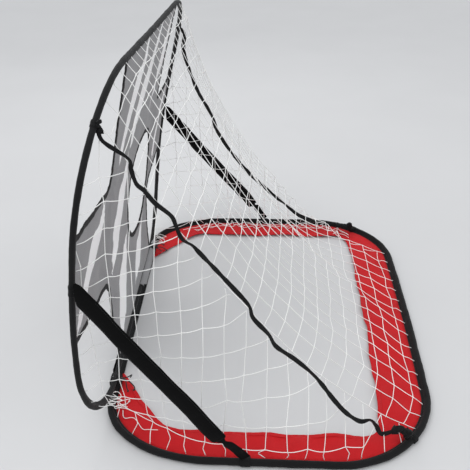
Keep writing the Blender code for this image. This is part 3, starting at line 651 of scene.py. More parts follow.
def upright_centre(step=0.006):
    p = plan(HALF_U, 0.0, TOP_V, UPRIGHT_FOOT, UPRIGHT_HEAD, UPRIGHT_DIP)
    p = resample(p, step=step, closed=True)
    line = on_upright(p[:, 0], p[:, 1])
    normal = on_upright(p[:, 0], p[:, 1], 0.01) - line
    return line, normal / 0.01


GROUND_P, GROUND_K = ground_centre()
UPRIGHT_P, UPRIGHT_K = upright_centre()
make_sleeve("ground_hoop_cover", GROUND_P, GROUND_K, 0.0099, 0.0093, 0.0034, -0.0046,
            base_sleeve_look, thread_look, "base", "base_hoop_sleeve", 3)
make_sleeve("standing_hoop_cover", UPRIGHT_P, UPRIGHT_K, 0.0084, 0.0068, 0.0030, 0.0,
            sleeve_look, thread_look, "upright", "upright_hoop_sleeve", 7)

for node, look in (("base_hoop_wire", wire_look), ("upright_hoop_wire", wire_look),
                   ("base_hoop_ferrule", ferrule_look), ("upright_hoop_ferrule", ferrule_look)):
    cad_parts[node].data.materials.clear()
    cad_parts[node].data.materials.append(look.mat)


# ------------------------------------------------------------- target sheet
def notch_line(name, step=0.006):
    """The hem of a corner cut-out, from the hoop's end edge round to its side, as (x, v)."""
    x, v_in, v_out = NOTCHES[name]
    s = 1 if "right" in name else -1
    up = 1 if "top" in name else -1
    end = float(head_v(x)) if up > 0 else SHEET_EDGE
    slope = (v_out - v_in) / (SIDE_X - abs(x))
    pts = [(x, end)]
    for k in range(17):
        a = radians(90 * k / 16)
        px = x + s * NOTCH_R * (1 - cos(a))
        pts.append((px, v_in + up * NOTCH_R * (1 - sin(a)) + slope * (px - x) * s))
    pts.append((s * SIDE_X, v_out))
    line = resample(np.array(pts), step=step)
    t = tangents(line)
    n = np.stack([t[:, 1], -t[:, 0]], 1)
    if (n @ np.array((s, up))).mean() < 0:
        n = -n
    at = along(line)
    fade = np.clip(np.minimum(at, at[-1] - at) / 0.05, 0, 1)
    line = line + n * (hash_wave(at, len(name) + x * 10, (0.13, 0.057), (0.0016, 0.0007)) * fade)[:, None]
    return line, n


def hole_line(n=150):
    cx, cv, rx, rv = CENTRE_HOLE
    a = 2 * pi * np.arange(n) / n
    e = 2 / 2.25
    line = np.stack([cx + rx * np.abs(np.cos(a)) ** e * np.sign(np.cos(a)),
                     cv + rv * np.abs(np.sin(a)) ** e * np.sign(np.sin(a))], 1)
    line = resample(line, step=0.006, closed=True)
    t = tangents(line, True)
    nrm = np.stack([t[:, 1], -t[:, 0]], 1)
    if ((np.array((cx, cv)) - line) * nrm).sum(1).mean() < 0:
        nrm = -nrm
    at = along(line)
    line = line + nrm * hash_wave(at, 3, (at[-1] / 5, at[-1] / 11), (0.0015, 0.0008))[:, None]
    return line, nrm


def sheet_edge():
    tr, br = notch_line("top_right")[0], notch_line("bottom_right")[0]
    tl, bl = notch_line("top_left")[0], notch_line("bottom_left")[0]
    xs = np.linspace(NOTCHES["top_right"][0], NOTCHES["top_left"][0], 80)[1:-1]
    head = np.stack([xs, head_v(xs)], 1)
    right = [(SIDE_X, v) for v in np.linspace(br[-1][1], tr[-1][1], 30)[1:-1]]
    left = [(-SIDE_X, v) for v in np.linspace(tl[-1][1], bl[-1][1], 30)[1:-1]]
    xs = np.linspace(NOTCHES["bottom_left"][0], NOTCHES["bottom_right"][0], 80)[1:-1]
    foot = [(x, SHEET_EDGE) for x in xs]
    return np.vstack([br, right, tr[::-1], head, tl, left, bl[::-1], foot])


def inside_poly(points, poly):
    x, y = points[:, 0], points[:, 1]
    hit = np.zeros(len(points), bool)
    a, b = poly, np.roll(poly, -1, 0)
    for (x0, y0), (x1, y1) in zip(a, b):
        cross = ((y0 > y) != (y1 > y))
        with np.errstate(divide="ignore", invalid="ignore"):
            hit ^= cross & (x < (x1 - x0) * (y - y0) / (y1 - y0 + 1e-15) + x0)
    return hit


def edge_distance(points, polys):
    best = np.full(len(points), 9.0)
    for poly in polys:
        for k in range(0, len(points), 4000):
            d = np.linalg.norm(points[k:k + 4000, None, :] - poly[None, :, :], axis=2).min(1)
            best[k:k + 4000] = np.minimum(best[k:k + 4000], d)
    return best


def cut_sheet(outer, holes, step):
    """A triangulated flat sheet with an even inner grid: (points, triangles)."""
    lo, hi = outer.min(0), outer.max(0)
    gx, gy = np.arange(lo[0], hi[0], step), np.arange(lo[1], hi[1], step * 0.866)
    grid = np.array([(x + (step / 2 if j % 2 else 0), y) for j, y in enumerate(gy) for x in gx])
    keep = inside_poly(grid, outer)
    for h in holes:
        keep &= ~inside_poly(grid, h)
    grid = grid[keep]
    grid = grid[edge_distance(grid, [outer, *holes]) > step * 0.6]
    verts = [Vector(p) for p in outer]
    edges = [(i, (i + 1) % len(outer)) for i in range(len(outer))]
    for h in holes:
        n = len(verts)
        verts += [Vector(p) for p in h]
        edges += [(n + i, n + (i + 1) % len(h)) for i in range(len(h))]
    verts += [Vector(p) for p in grid]
    out, _, tris, *_ = delaunay_2d_cdt(verts, edges, [], 0, 1e-7)
    pts = np.array([tuple(p) for p in out])
    tris = np.array([t for t in tris if len(t) == 3])
    mid = pts[tris].mean(1)
    ok = inside_poly(mid, outer)
    for h in holes:
        ok &= ~inside_poly(mid, h)
    tris = tris[ok]
    a, b, c = pts[tris[:, 0]], pts[tris[:, 1]], pts[tris[:, 2]]
    area = (b - a)[:, 0] * (c - a)[:, 1] - (b - a)[:, 1] * (c - a)[:, 0]
    tris[area < 0] = tris[area < 0][:, ::-1]
    tris = tris[np.abs(area) > 1e-9]
    used = np.unique(tris)
    new = np.full(len(pts), -1)
    new[used] = np.arange(len(used))
    return pts[used], new[tris], float(np.abs(area).sum() / 2)


def brush_strokes(look, strokes):
    """Pale brushed streaks, each a wobbling line with a dry, ragged edge; returns their share."""
    uv = look.coords("cloth")
    wob = look.node("ShaderNodeTexNoise", Scale=14.0, Detail=3.0)
    look.link(uv, wob.inputs["Vector"])
    shift = look.node("ShaderNodeVectorMath", operation="MULTIPLY_ADD")
    look.link(wob.outputs["Color"], shift.inputs[0])
    shift.inputs[1].default_value = (0.030, 0.030, 0.0)
    look.link(uv, shift.inputs[2])
    total = None
    for (ax, ay), (bx, by), r in strokes:
        d = np.array((bx - ax, by - ay))
        length = float(np.linalg.norm(d))
        d = d / length
        rel = look.node("ShaderNodeVectorMath", operation="SUBTRACT")
        look.link(shift.outputs[0], rel.inputs[0])
        rel.inputs[1].default_value = (ax + 0.015, ay + 0.015, 0.0)
        run = look.node("ShaderNodeVectorMath", operation="DOT_PRODUCT")
        look.link(rel.outputs[0], run.inputs[0])
        run.inputs[1].default_value = (float(d[0]), float(d[1]), 0.0)
        side = look.node("ShaderNodeVectorMath", operation="DOT_PRODUCT")
        look.link(rel.outputs[0], side.inputs[0])
        side.inputs[1].default_value = (float(-d[1]), float(d[0]), 0.0)
        share = look.maths("DIVIDE", run.outputs["Value"], length)
        belly = look.maths("MULTIPLY", look.maths("MULTIPLY", share, look.maths("SUBTRACT", 1.0, share)), 4.0 * r)
        body = look.maths("SUBTRACT", belly, look.maths("ABSOLUTE", side.outputs["Value"], 0.0))
        comb = look.node("ShaderNodeCombineXYZ")
        look.link(look.maths("MULTIPLY", run.outputs["Value"], 6.0), comb.inputs["X"])
        look.link(look.maths("MULTIPLY", side.outputs["Value"], 170.0), comb.inputs["Y"])
        dry = look.node("ShaderNodeTexNoise", Scale=1.0, Detail=2.0)
        look.link(comb.outputs[0], dry.inputs["Vector"])
        body = look.maths("ADD", body, look.maths("MULTIPLY", look.maths("SUBTRACT", dry.outputs["Fac"], 0.42), 0.030))
        mask = look.maths("MULTIPLY", body, 600.0)
        n = look.node("ShaderNodeClamp")
        look.link(mask, n.inputs["Value"])
        total = n.outputs[0] if total is None else look.maths("MAXIMUM", total, n.outputs[0])
    return total


STROKES = [((0.02, 0.87), (0.20, 0.56), 0.034), ((-0.16, 0.86), (0.05, 0.55), 0.040),
           ((0.33, 0.53), (0.58, 0.34), 0.036), ((0.07, 0.55), (0.22, 0.26), 0.038),
           ((0.02, 0.27), (0.20, 0.03), 0.036), ((-0.55, 0.54), (-0.39, 0.32), 0.036),
           ((-0.31, 0.84), (-0.22, 0.58), 0.030), ((-0.28, 0.20), (-0.05, 0.05), 0.034)]
dark, light = (0.245, 0.245, 0.250), (0.290, 0.290, 0.296)
ground = grey_look.ramp(grey_look.noise(6.0), [(0.3, dark), (0.7, light)])
thread = grey_look.maths("MULTIPLY", grey_look.bands(0.0012, "X"), grey_look.bands(0.0012, "Y"))
ground = grey_look.mix(grey_look.maths("MULTIPLY", thread, 0.25), ground, (0.245, 0.245, 0.252))
grey_look.colour(grey_look.mix(brush_strokes(grey_look, STROKES), ground, (0.90, 0.90, 0.905)))


def target_panel():
    outer, (hole, _) = sheet_edge(), hole_line()
    pts, tris, area = cut_sheet(outer, [hole], 0.0095)
    d = edge_distance(pts, [outer, hole])
    free = np.clip(d / 0.045, 0, 1) ** 1.3
    x, v = pts[:, 0], pts[:, 1]
    off = 0.0022 * np.sin(46 * (x + 0.35 * v) + 2.4 * np.sin(5 * v)) * (0.4 + 0.6 * np.sin(3.1 * v + 1.0) ** 2)
    off += 0.0030 * np.sin(17 * v + 6 * x) * np.sin(9 * x + 1.3)
    for key, (nx, v_in, _) in NOTCHES.items():
        s = 1 if "right" in key else -1
        up = 1 if "top" in key else -1
        rx, rv = x - (nx + s * 0.01), v - (v_in + up * 0.01)
        r = np.hypot(rx, rv)
        ang = np.arctan2(rv, rx)
        off += 0.0042 * np.exp(-r / 0.11) * np.sin(11 * ang + 1.7)
    off *= free
    world = on_upright(x, v, off)
    uv = pts[tris].reshape(-1, 2)
    obj = put("target_sheet", world, tris, grey_look.mat, uv)
    thick = obj.modifiers.new("thickness", "SOLIDIFY")
    thick.thickness, thick.offset = 0.0009, 0.0
    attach(obj, "upright")
    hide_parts("target_panel")
    return obj, area


TAPE = [(-0.0040, 0.0012), (-0.0008, 0.0015), (0.0040, 0.0014), (0.0088, 0.0014), (0.0101, 0.0008),
        (0.0101, -0.0008), (0.0088, -0.0014), (0.0040, -0.0014), (-0.0008, -0.0015), (-0.0040, -0.0012)]


def edge_tape(key, line, n, closed):
    """Tape folded over a hem, with a row of stitches on both faces."""
    at = along(np.vstack([line, line[:1]]) if closed else line)
    at = at[:-1] if closed else at
    wide = 1 + hash_wave(at, len(key), (0.11, 0.043), (0.07, 0.05))
    if key == "bottom_right":
        wide = wide * (1 + 0.3 * np.clip(1 - np.abs(at - 0.11) / 0.07, 0, 1) ** 0.5)
    ruck = hash_wave(at, len(key) + 4, (0.019, 0.031), (0.00025, 0.0003))
    rows = []
    for o, z in TAPE:
        q = line + n * ((o if o < 0 else o * wide)[:, None] if o > 0 else o)
        rows.append(on_upright(q[:, 0], q[:, 1], z + ruck))
    rows = np.stack(rows, 1)
    v, f, uv = loft(rows, wrap_path=closed, cap=not closed)
    obj = put("hem_tape_" + key, v, f, tape_look.mat, uv)
    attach(obj, "upright")
    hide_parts("binding_" + key)
    q = line - n * 0.0018
    surface = on_upright(q[:, 0], q[:, 1], ruck)
    normal = (on_upright(q[:, 0], q[:, 1], 0.01) - on_upright(q[:, 0], q[:, 1], 0.0)) / 0.01
    parts = [stitched(surface + normal * 0.00145, normal, closed=closed),
             stitched(surface - normal * 0.00145, -normal, closed=closed)]
    v, f, uv = joined(parts)
    st = put("hem_stitches_" + key, v, f, thread_look.mat, uv)
    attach(st, "upright")
    return [obj, st]


def cord_mesh(paths, radius, sides=6):
    """Round cords along several paths, as one mesh."""
    verts, faces, uv, n = [], [], [], 0
    ang = 2 * pi * np.arange(sides) / sides
    quad_v = 2 * pi * radius * np.arange(sides + 1) / sides
    for p in paths:
        t, side, up = carried(p)
        r = radius if np.isscalar(radius) else radius
        ring = (p[:, None, :] + r * (np.cos(ang)[None, :, None] * side[:, None, :]
                                     + np.sin(ang)[None, :, None] * up[:, None, :]))
        m = len(p)
        verts.append(ring.reshape(-1, 3))
        s = along(p)
        for i in range(m - 1):
            a, b = n + i * sides, n + (i + 1) * sides
            for j in range(sides):
                j2 = (j + 1) % sides
                faces.append((a + j, a + j2, b + j2, b + j))
                uv += [(s[i], quad_v[j]), (s[i], quad_v[j + 1]), (s[i + 1], quad_v[j + 1]), (s[i + 1], quad_v[j])]
        for base, order in ((n, -1), (n + (m - 1) * sides, 1)):
            faces.append(tuple(base + j for j in range(sides))[::order])
            uv += [(0.0, 0.0)] * sides
        n += m * sides
    return np.vstack(verts), faces, uv


def hem_flap():
    """The sheet's lower hem hangs over both tubes at the mouth for a stretch, with a bound edge."""
    xs = np.linspace(-0.43, -0.10, 84)
    e = np.clip(np.minimum((xs + 0.43) / 0.05, (-0.10 - xs) / 0.05), 0, 1)
    e = e * e * (3 - 2 * e)
    low = np.where(xs > -0.31, 0.0048, 0.0120) + hash_wave(xs, 5, (0.061, 0.023), (0.0008, 0.0005))
    low = (HINGE_Z + 0.004) * (1 - e) + low * e
    rows = []
    for a in np.radians(np.arange(100, -1, -12.5)):
        q = on_upright(xs, 0.0)
        q[:, 1] += 0.0128 * cos(a)
        q[:, 2] = HINGE_Z + 0.0094 * sin(a)
        rows.append(q)
    for share in (0.25, 0.5, 0.75, 1.0):
        q = rows[8].copy()
        q[:, 2] = HINGE_Z + (low - HINGE_Z) * share
        q[:, 1] += 0.0012 * share + hash_wave(xs, 9, (0.043, 0.017), (0.0005, 0.0003)) * share
        rows.append(q)
    rows = np.stack(rows, 1)
    n, m = rows.shape[:2]
    faces = [(i * m + j, i * m + j + 1, (i + 1) * m + j + 1, (i + 1) * m + j) for i in range(n - 1) for j in range(m - 1)]
    uv = np.stack([np.repeat(xs, m), np.tile(np.linspace(0, 0.03, m), n)], 1)[np.array(faces)].reshape(-1, 2)
    flap = put("sheet_hem", rows.reshape(-1, 3), faces, grey_look.mat, uv)
    thick = flap.modifiers.new("thickness", "SOLIDIFY")
    thick.thickness, thick.offset = 0.0009, 0.0
    v, f, uv = cord_mesh([rows[:, -1]], 0.0014)
    edge = put("sheet_hem_edge", v, f, tape_look.mat, uv)
    for obj, slot in ((flap, "grey_sheet"), (edge, "edge_binding")):
        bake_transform(obj)
    return [flap, edge]


panel, panel_area = target_panel()
hem_pieces = hem_flap()
tapes = []
for key in NOTCHES:
    tapes += edge_tape(key, *notch_line(key), False)
tapes += edge_tape("centre", *hole_line(), True)


# ------------------------------------------------------------ ground border
BORDER_Z = 0.0051
EDGE = GROUND_R * FLAT + GAP


def corner_arc(cx, cy, r, start, n=14):
    a = np.radians(start + 90 * np.arange(n + 1) / n)
    return np.stack([cx + r * np.cos(a), cy + r * np.sin(a)], 1)


def hem_line():
    """The border's inner edge, from the left end of the mouth round to the right end."""
    pts = [(-0.318, mouth(-0.318) + EDGE), (-0.462, 0.163), (-0.484, 0.186), (-0.4955, 0.222), (-0.497, 0.46)]
    pts += [tuple(p) for p in corner_arc(-0.447, 0.712, 0.050, 90)[::-1]]
    pts += [(x, 0.762 + 0.011 * cos(pi * x / 0.95)) for x in np.linspace(-0.40, 0.41, 22)]
    pts += [tuple(p) for p in corner_arc(0.455, 0.712, 0.050, 0)[::-1]]
    pts += [(0.506, 0.46), (0.5045, 0.250), (0.494, 0.214), (0.470, 0.190), (0.298, mouth(0.298) + EDGE)]
    line = resample(np.array(pts), step=0.006)
    t = tangents(line)
    n = np.stack([t[:, 1], -t[:, 0]], 1)
    if (n * (np.array((0.0, 0.45)) - line)).sum(1).mean() < 0:
        n = -n
    at = along(line)
    fade = np.clip(np.minimum(at, at[-1] - at) / 0.06, 0, 1)
    wave = hash_wave(at, 4, (0.21, 0.083, 0.37), (0.0020, 0.0010, 0.0016)) * fade
    return line + n * wave[:, None], n


def border_edge(hem):
    t, o, _ = hoop_frames(GROUND_P, GROUND_K)
    q = (GROUND_P - o * EDGE)[:, :2]
    keep = ~((q[:, 1] < np.array([mouth(x) for x in q[:, 0]]) + 0.06) & (q[:, 0] > -0.333) & (q[:, 0] < 0.312))
    first = int(np.argmax(keep & ~np.roll(keep, 1)))
    q, keep = np.roll(q, -first, 0), np.roll(keep, -first)
    q = q[keep]
    if q[0, 0] < 0:
        q = q[::-1]
    right_end = (0.312, mouth(0.312) + EDGE)
    left_end = (-0.333, mouth(-0.333) + EDGE)
    return np.vstack([[right_end], q, [left_end], hem])


def border():
    hem, n = hem_line()
    outer = border_edge(hem)
    pts, tris, area = cut_sheet(outer, [], 0.010)
    d = edge_distance(pts, [outer])
    free = np.clip(d / 0.03, 0, 1)
    x, y = pts[:, 0], pts[:, 1]
    around = np.arctan2(y - 0.46, x)
    lift = 0.0022 + 0.0017 * np.sin(31 * around + 2.0 * np.sin(7 * around)) + 0.0012 * np.sin(61 * x + 47 * y)
    lift += 0.0013 * np.sin(23 * x - 71 * y + 2 * np.sin(9 * x))
    near_hem = edge_distance(pts, [hem])
    curl = 0.0024 * np.exp(-near_hem / 0.02) * (1 + np.sin(19 * around + 1.0))
    z = BORDER_Z + free * np.maximum(lift, -0.002) + curl * np.clip(edge_distance(pts, [outer[:len(outer) - len(hem)]]) / 0.04, 0, 1)
    obj = put("border_cloth", np.stack([x, y, z], 1), tris, red_look.mat, pts[tris].reshape(-1, 2))
    thick = obj.modifiers.new("thickness", "SOLIDIFY")
    thick.thickness, thick.offset = 0.0009, 0.0
    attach(obj, "base")
    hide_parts("ground_border")

    at = along(hem)
    ang = np.arctan2(hem[:, 1] - 0.46, hem[:, 0])
    fade = np.clip(np.minimum(at, at[-1] - at) / 0.05, 0, 1)
    hz = BORDER_Z + 0.0024 * (1 + np.sin(19 * ang + 1.0)) * fade
    roll = hash_wave(at, 9, (0.017, 0.027), (0.00025, 0.0003))
    rows = []
    for o, z in ((-0.0100, 0.0006), (-0.0086, 0.0012), (-0.0040, 0.0011), (0.0004, 0.0013), (0.0012, 0.0006),
                 (0.0012, -0.0006), (0.0004, -0.0013), (-0.0040, -0.0011), (-0.0086, -0.0012), (-0.0100, -0.0006)):
        q = hem + n * o
        rows.append(np.column_stack([q, hz + roll + z]))
    v, f, uv = loft(np.stack(rows, 1), cap=True)
    fold = put("border_hem", v, f, red_look.mat, uv)
    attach(fold, "base")
    q = hem - n * 0.0072
    v, f, uv = stitched(np.column_stack([q, hz + roll + 0.0012]), (0, 0, 1))
    st = put("border_stitches", v, f, red_thread_look.mat, uv)
    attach(st, "base")
    return obj, fold, st, area


cloth, fold, hem_stitches, border_area = border()


# ------------------------------------------------- tubes, knots and ribbons
def lump_shape():
    """A small knot's body: a sphere of rings pinched into two crossing turns."""
    rings, around = 6, 8
    pts = [(0, 0, 1.0)]
    for i in range(1, rings):
        th = pi * i / rings
        for j in range(around):
            a = 2 * pi * j / around
            r = 1 + 0.22 * cos(3 * a + 2 * th) * sin(th) + 0.12 * cos(4 * th)
            pts.append((r * sin(th) * cos(a), r * sin(th) * sin(a), r * cos(th)))
    pts.append((0, 0, -1.0))
    faces = [(0, 1 + j, 1 + (j + 1) % around) for j in range(around)]
    for i in range(rings - 2):
        for j in range(around):
            a, b = 1 + i * around, 1 + (i + 1) * around
            faces.append((a + j, b + j, b + (j + 1) % around, a + (j + 1) % around))
    last = 1 + (rings - 1) * around
    faces += [(last, last - around + (j + 1) % around, last - around + j) for j in range(around)]
    return np.array(pts), faces


LUMP, LUMP_FACES = lump_shape()


def knots(centres, size, seed=1):
    """Little tight knots, each turned its own way."""
    rng = np.random.default_rng(seed)
    verts, faces, uv = [], [], []
    for i, c in enumerate(centres):
        q = rng.normal(size=(3, 3))
        u, _, w = np.linalg.svd(q)
        turn = u @ w
        scale = size * np.array((1.0, 0.85, 0.7)) * rng.uniform(0.9, 1.15)
        verts.append((LUMP * scale) @ turn.T + c)
        n = i * len(LUMP)
        for f in LUMP_FACES:
            faces.append(tuple(k + n for k in f))
            uv += [(LUMP[k, 0] * size, LUMP[k, 1] * size) for k in f]
    return np.vstack(verts), faces, uv


def band(path, width_dir, width, thick, seed=0, bulge=0.0, around=10, gather=0.0):
    """A flat strap: rounded edges, slight cupping across, small random buckles along."""
    t = tangents(path)
    w = width_dir - t * (width_dir * t).sum(1, keepdims=True)
    w /= np.maximum(np.linalg.norm(w, axis=1, keepdims=True), 1e-9)
    n = np.cross(t, w)
    s = along(path)
    width = np.broadcast_to(np.asarray(width, float), s.shape)
    half = width / 2 * (1 + hash_wave(s, seed, (0.023, 0.055), (0.02, 0.03)))
    cup = hash_wave(s, seed + 2, (0.04, 0.09), (0.10, 0.12))
    rows = []
    prof = [(-1.0, 0.35), (-0.86, 1.0), (-0.45, 1.0), (0.0, 1.0), (0.45, 1.0), (0.86, 1.0), (1.0, 0.35)]
    for x, z in prof + [(x, -z) for x, z in prof[::-1]]:
        off = z * thick / 2 + (1 - x * x) * (bulge * np.sign(z) + cup * half * 0.35)
        rows.append(path + w * (x * half)[:, None] + n * np.asarray(off)[:, None])
    return np.stack(rows, 1), w, n


# ----------------------------------------------- the sewn edge at the mouth
def hinge():
    x = np.linspace(-0.318, 0.318, 107)
    y = np.array([mouth(a) for a in x])
    sag = hash_wave(x + 0.4, 2, (0.09, 0.21), (0.0005, 0.0006))
    path = np.column_stack([x, y - 0.0118, 0.0180 + sag])
    rows, w, n = band(path, np.tile((0.0, 0.0, 1.0), (len(x), 1)), 0.030, 0.0014, seed=6)
    v, f, uv = loft(rows, cap=True)
    obj = put("mouth_webbing", v, f, web_look.mat, uv)
    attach(obj, "base")
    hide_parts("hinge_strip")
    parts = []
    for z in (-0.0118, 0.0118):
        parts.append(stitched(path + np.array((0, -0.0008, z)), (0, -1, 0)))
    v, f, uv = joined(parts)
    st = put("mouth_stitches", v, f, thread_look.mat, uv)
    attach(st, "base")


def loop_round(x0, sx, turns, seed):
    """Cord lashed round both hoops at an end of the sewn edge, its two ends hanging loose."""
    rng = np.random.default_rng(seed)
    pts = []
    gap = (HINGE_Z - GROUND_Z) / 2
    mid_z = GROUND_Z + gap
    y0 = mouth(x0)
    n = 20
    for k in range(turns * n + 1):
        a = 2 * pi * k / n
        x = x0 + sx * (k / n - turns / 2) * 0.0052 + 0.0012 * sin(3 * a + seed)
        ry, rz = 0.0132, gap + 0.0115
        c, s = cos(a - pi / 2), sin(a - pi / 2)
        pts.append((x, y0 + 0.0002 + ry * np.sign(c) * abs(c) ** 0.8, max(mid_z + rz * np.sign(s) * abs(s) ** 0.8, 0.0016)))
    return np.array(pts)


def tie_ends(side, sx):
    x0 = sx * 0.345
    y0 = mouth(x0)
    lash = [smooth_path(loop_round(x0 + sx * d, sx, turns, k), 0.0025)
            for k, (d, turns) in enumerate(((-0.004, 3), (0.011, 2)))]
    knot_at = np.array((x0 + sx * 0.004, y0 + 0.0175, 0.031))
    for k, (dx, dy, dz) in enumerate(((0.030, 0.020, -0.006), (0.012, 0.036, -0.018), (-0.020, 0.024, -0.004))):
        end = knot_at + np.array((sx * dx, dy, dz))
        mid = (knot_at + end) / 2 + np.array((0.004 * (k - 1), 0.003, 0.008 - 0.003 * k))
        lash.append(smooth_path(np.array([knot_at, mid, end, end + np.array((sx * 0.006, 0.004 - 0.004 * k, -0.005))]), 0.0025))
    v, f, uv = joined([cord_mesh(lash, 0.0016, 7),
                       knots([knot_at, knot_at + np.array((sx * 0.004, 0.002, 0.003)), lash[2][-1], lash[3][-1]], 0.0040, 5)])
    obj = put(f"mouth_tie_{side}", v, f, tie_look.mat, uv)
    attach(obj, "base")
    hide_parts(f"hinge_tie_{side}")


hinge()
for side, sx in SIDES:
    tie_ends(side, sx)


# --------------------------------------------------------------- side struts
def strut_axes(side, sx):
    py, pz, foot = STRUT[side]
    top = np.array((sx * STRUT_X, py, pz))
    end = np.array((sx * STRUT_X, foot, GROUND_Z + 0.008))
    line = (end - top) / np.linalg.norm(end - top)
    return top, line, np.array((0.0, -line[2], line[1])), foot


def trimmed(points, front):
    """The head of the sleeve ends where it is sewn along the back of the hoop."""
    out = points.copy()
    out[..., 1] = np.maximum(out[..., 1], front)
    return out


def strut(side, sx):
    py, pz, _ = STRUT[side]
    top, line, wide, foot = strut_axes(side, sx)
    s = np.linspace(-0.006, SLEEVE_END + 0.004, 118)
    n = len(s)
    half = STRUT_WIDTH / 2 * (1 + hash_wave(s, 4 + sx, (0.093, 0.041, 0.21), (0.012, 0.006, 0.018)))
    head = np.clip((s + 0.006) / 0.020, 0, 1)
    half = half * (0.30 + 0.70 * np.sqrt(1 - (1 - head) ** 2))
    tail = np.clip((s[-1] - s) / 0.012, 0, 1)
    half = half * (0.84 + 0.16 * np.sqrt(1 - (1 - tail) ** 2))
    fat = 0.0040 * np.clip((s + 0.006) / 0.012, 0.35, 1) * np.clip((s[-1] - s) / 0.014, 0.35, 1)
    fat = fat * (1 + hash_wave(s, 8 + sx, (0.035, 0.077), (0.07, 0.09)))
    drift = hash_wave(s, 2 + sx, (0.34, 0.15), (0.0011, 0.0005))
    pucker = hash_wave(s, 13, (0.0125, 0.019), (0.00022, 0.00018))
    rows = []
    prof = np.linspace(-1, 1, 21)
    outline = [(x, 1.0) for x in prof] + [(x, -1.0) for x in prof[::-1]]
    for x, face in outline:
        e = abs(x)
        crown = (1 - e ** 2.2) ** 0.9
        seam = np.exp(-((e - 0.80) / 0.05) ** 2)
        h = 0.0012 * (1 - e ** 10) ** 0.5 + fat * crown * (1 - 0.35 * seam) + pucker * seam
        h = np.where(e > 0.9, np.maximum(h, 0.0011 * (1 - ((e - 0.9) / 0.1) ** 4)), h)
        rows.append(top + line * s[:, None] + wide * (x * half + drift)[:, None]
                    + np.array((1.0, 0, 0)) * (face * h)[:, None])
    rows = np.stack(rows, 1)
    hoop = UPRIGHT_P[np.argmin(np.linalg.norm(UPRIGHT_P - (sx * HALF_U, py, pz), axis=1))]
    rows = trimmed(rows, hoop[1] + 0.0082)
    v, f, uv = loft(rows, cap=True)
    obj = put(f"strut_sleeve_{side}", v, f, strut_look.mat, uv)
    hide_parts(f"strut_sleeve_upper_{side}", f"strut_sleeve_lower_{side}")
    shift = np.array((0, CENTRE_Y, 0))
    a = top + line * 0.225 - shift
    b = top + line * 0.279 - shift
    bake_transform(obj)
    parts = []
    for x in (-0.80, 0.80):
        for face in (-1, 1):
            e = abs(x)
            q = (top + line * s[:, None] + wide * (x * half + drift)[:, None]
                 + np.array((1.0, 0, 0)) * (face * (0.0012 + fat * (1 - e ** 2.2) ** 0.9 * 0.65 + 0.0001))[:, None])
            parts.append(stitched(q[14:-8], (face, 0, 0), pitch=0.0046))
    v, f, uv = joined(parts)
    st = put(f"strut_stitches_{side}", v, f, thread_look.mat, uv)
    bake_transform(st)
    for part in ("upper", "lower"):
        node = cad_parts[f"strut_pole_{part}_{side}"]
        node.data.materials.clear()
        node.data.materials.append(pole_look.mat)

    a = top + line * (SLEEVE_END - 0.010)
    b = np.array((sx * (HALF_G + 0.0015), foot, GROUND_Z + GROUND_R + 0.0030))
    mid = (a + b) / 2 + np.array((sx * 0.0015, 0.004, 0.002))
    path = smooth_path(np.array([a, a + line * 0.014, mid, b - line * 0.012, b]), 0.0025)
    s2 = along(path) / along(path)[-1]
    neck = 0.014 * np.exp(-((s2 - 0.24) / 0.075) ** 2)   # gathered where it leaves the sleeve
    width = 0.028 - neck - 0.003 * np.sin(pi * s2)
    rows, w, nn = band(path, np.tile(wide, (len(path), 1)), width, 0.0016, seed=3 + sx)
    v, f, uv = loft(rows, cap=True)
    obj = put(f"strut_web_tail_{side}", v, f, strut_look.mat, uv)
    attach(obj, f"strut_lower_{side}")
    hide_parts(f"strut_tail_{side}")


def wrap(name, line_p, line_k, centre, width, out_r, k_r, thick, body, node, look, turns=1.04, drop=0.0, seed=0, lift=0.0):
    """A strip of webbing wound round a sleeved hoop, overlapping where it is sewn."""
    t, o, k = hoop_frames(line_p, line_k)
    i = int(np.argmin(np.linalg.norm(line_p - np.asarray(centre), axis=1)))
    p, t, o, k = line_p[i], t[i], o[i], k[i]
    ang = np.radians(np.linspace(175, 175 - 360 * turns, int(44 * turns)))
    grow = np.linspace(0, thick * 1.15, len(ang))
    oc, ro = (out_r - 0.0134) / 2 + 0.0004, (out_r + 0.0134) / 2 + 0.0008
    c, s = np.cos(ang), np.sin(ang)
    path = (p + o * (oc + (ro + grow) * np.sign(c) * np.abs(c) ** 0.85)[:, None]
            + k * (drop * np.clip(-c, 0, 1) + (k_r + grow) * np.sign(s) * np.abs(s) ** 0.85)[:, None]
            + t * (np.linspace(-0.5, 0.5, len(ang)) * lift)[:, None])
    path[:, 2] = np.maximum(path[:, 2], thick / 2 + 0.0003)
    rows, _, _ = band(path, np.tile(t, (len(path), 1)), width, thick, seed=seed)
    v, f, uv = loft(rows, cap=True)
    obj = put(name, v, f, look.mat, uv)
    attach(obj, body)
    if node:
        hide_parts(node)
    return obj


for side, sx in SIDES:
    strut(side, sx)
    py, pz, foot = STRUT[side]
    wrap(f"strut_head_band_{side}", UPRIGHT_P, UPRIGHT_K, (sx * HALF_U, py, pz - 0.016), 0.022, 0.0084, 0.0072, 0.0009,
         "upright", f"strut_top_cuff_{side}", web_look, seed=3)
    wrap(f"strut_foot_band_{side}", GROUND_P, GROUND_K, (sx * HALF_G, foot, GROUND_Z), 0.024, 0.0100, 0.0101, 0.0010,
         "base", f"strut_base_cuff_{side}", web_look, drop=-0.002, seed=5)

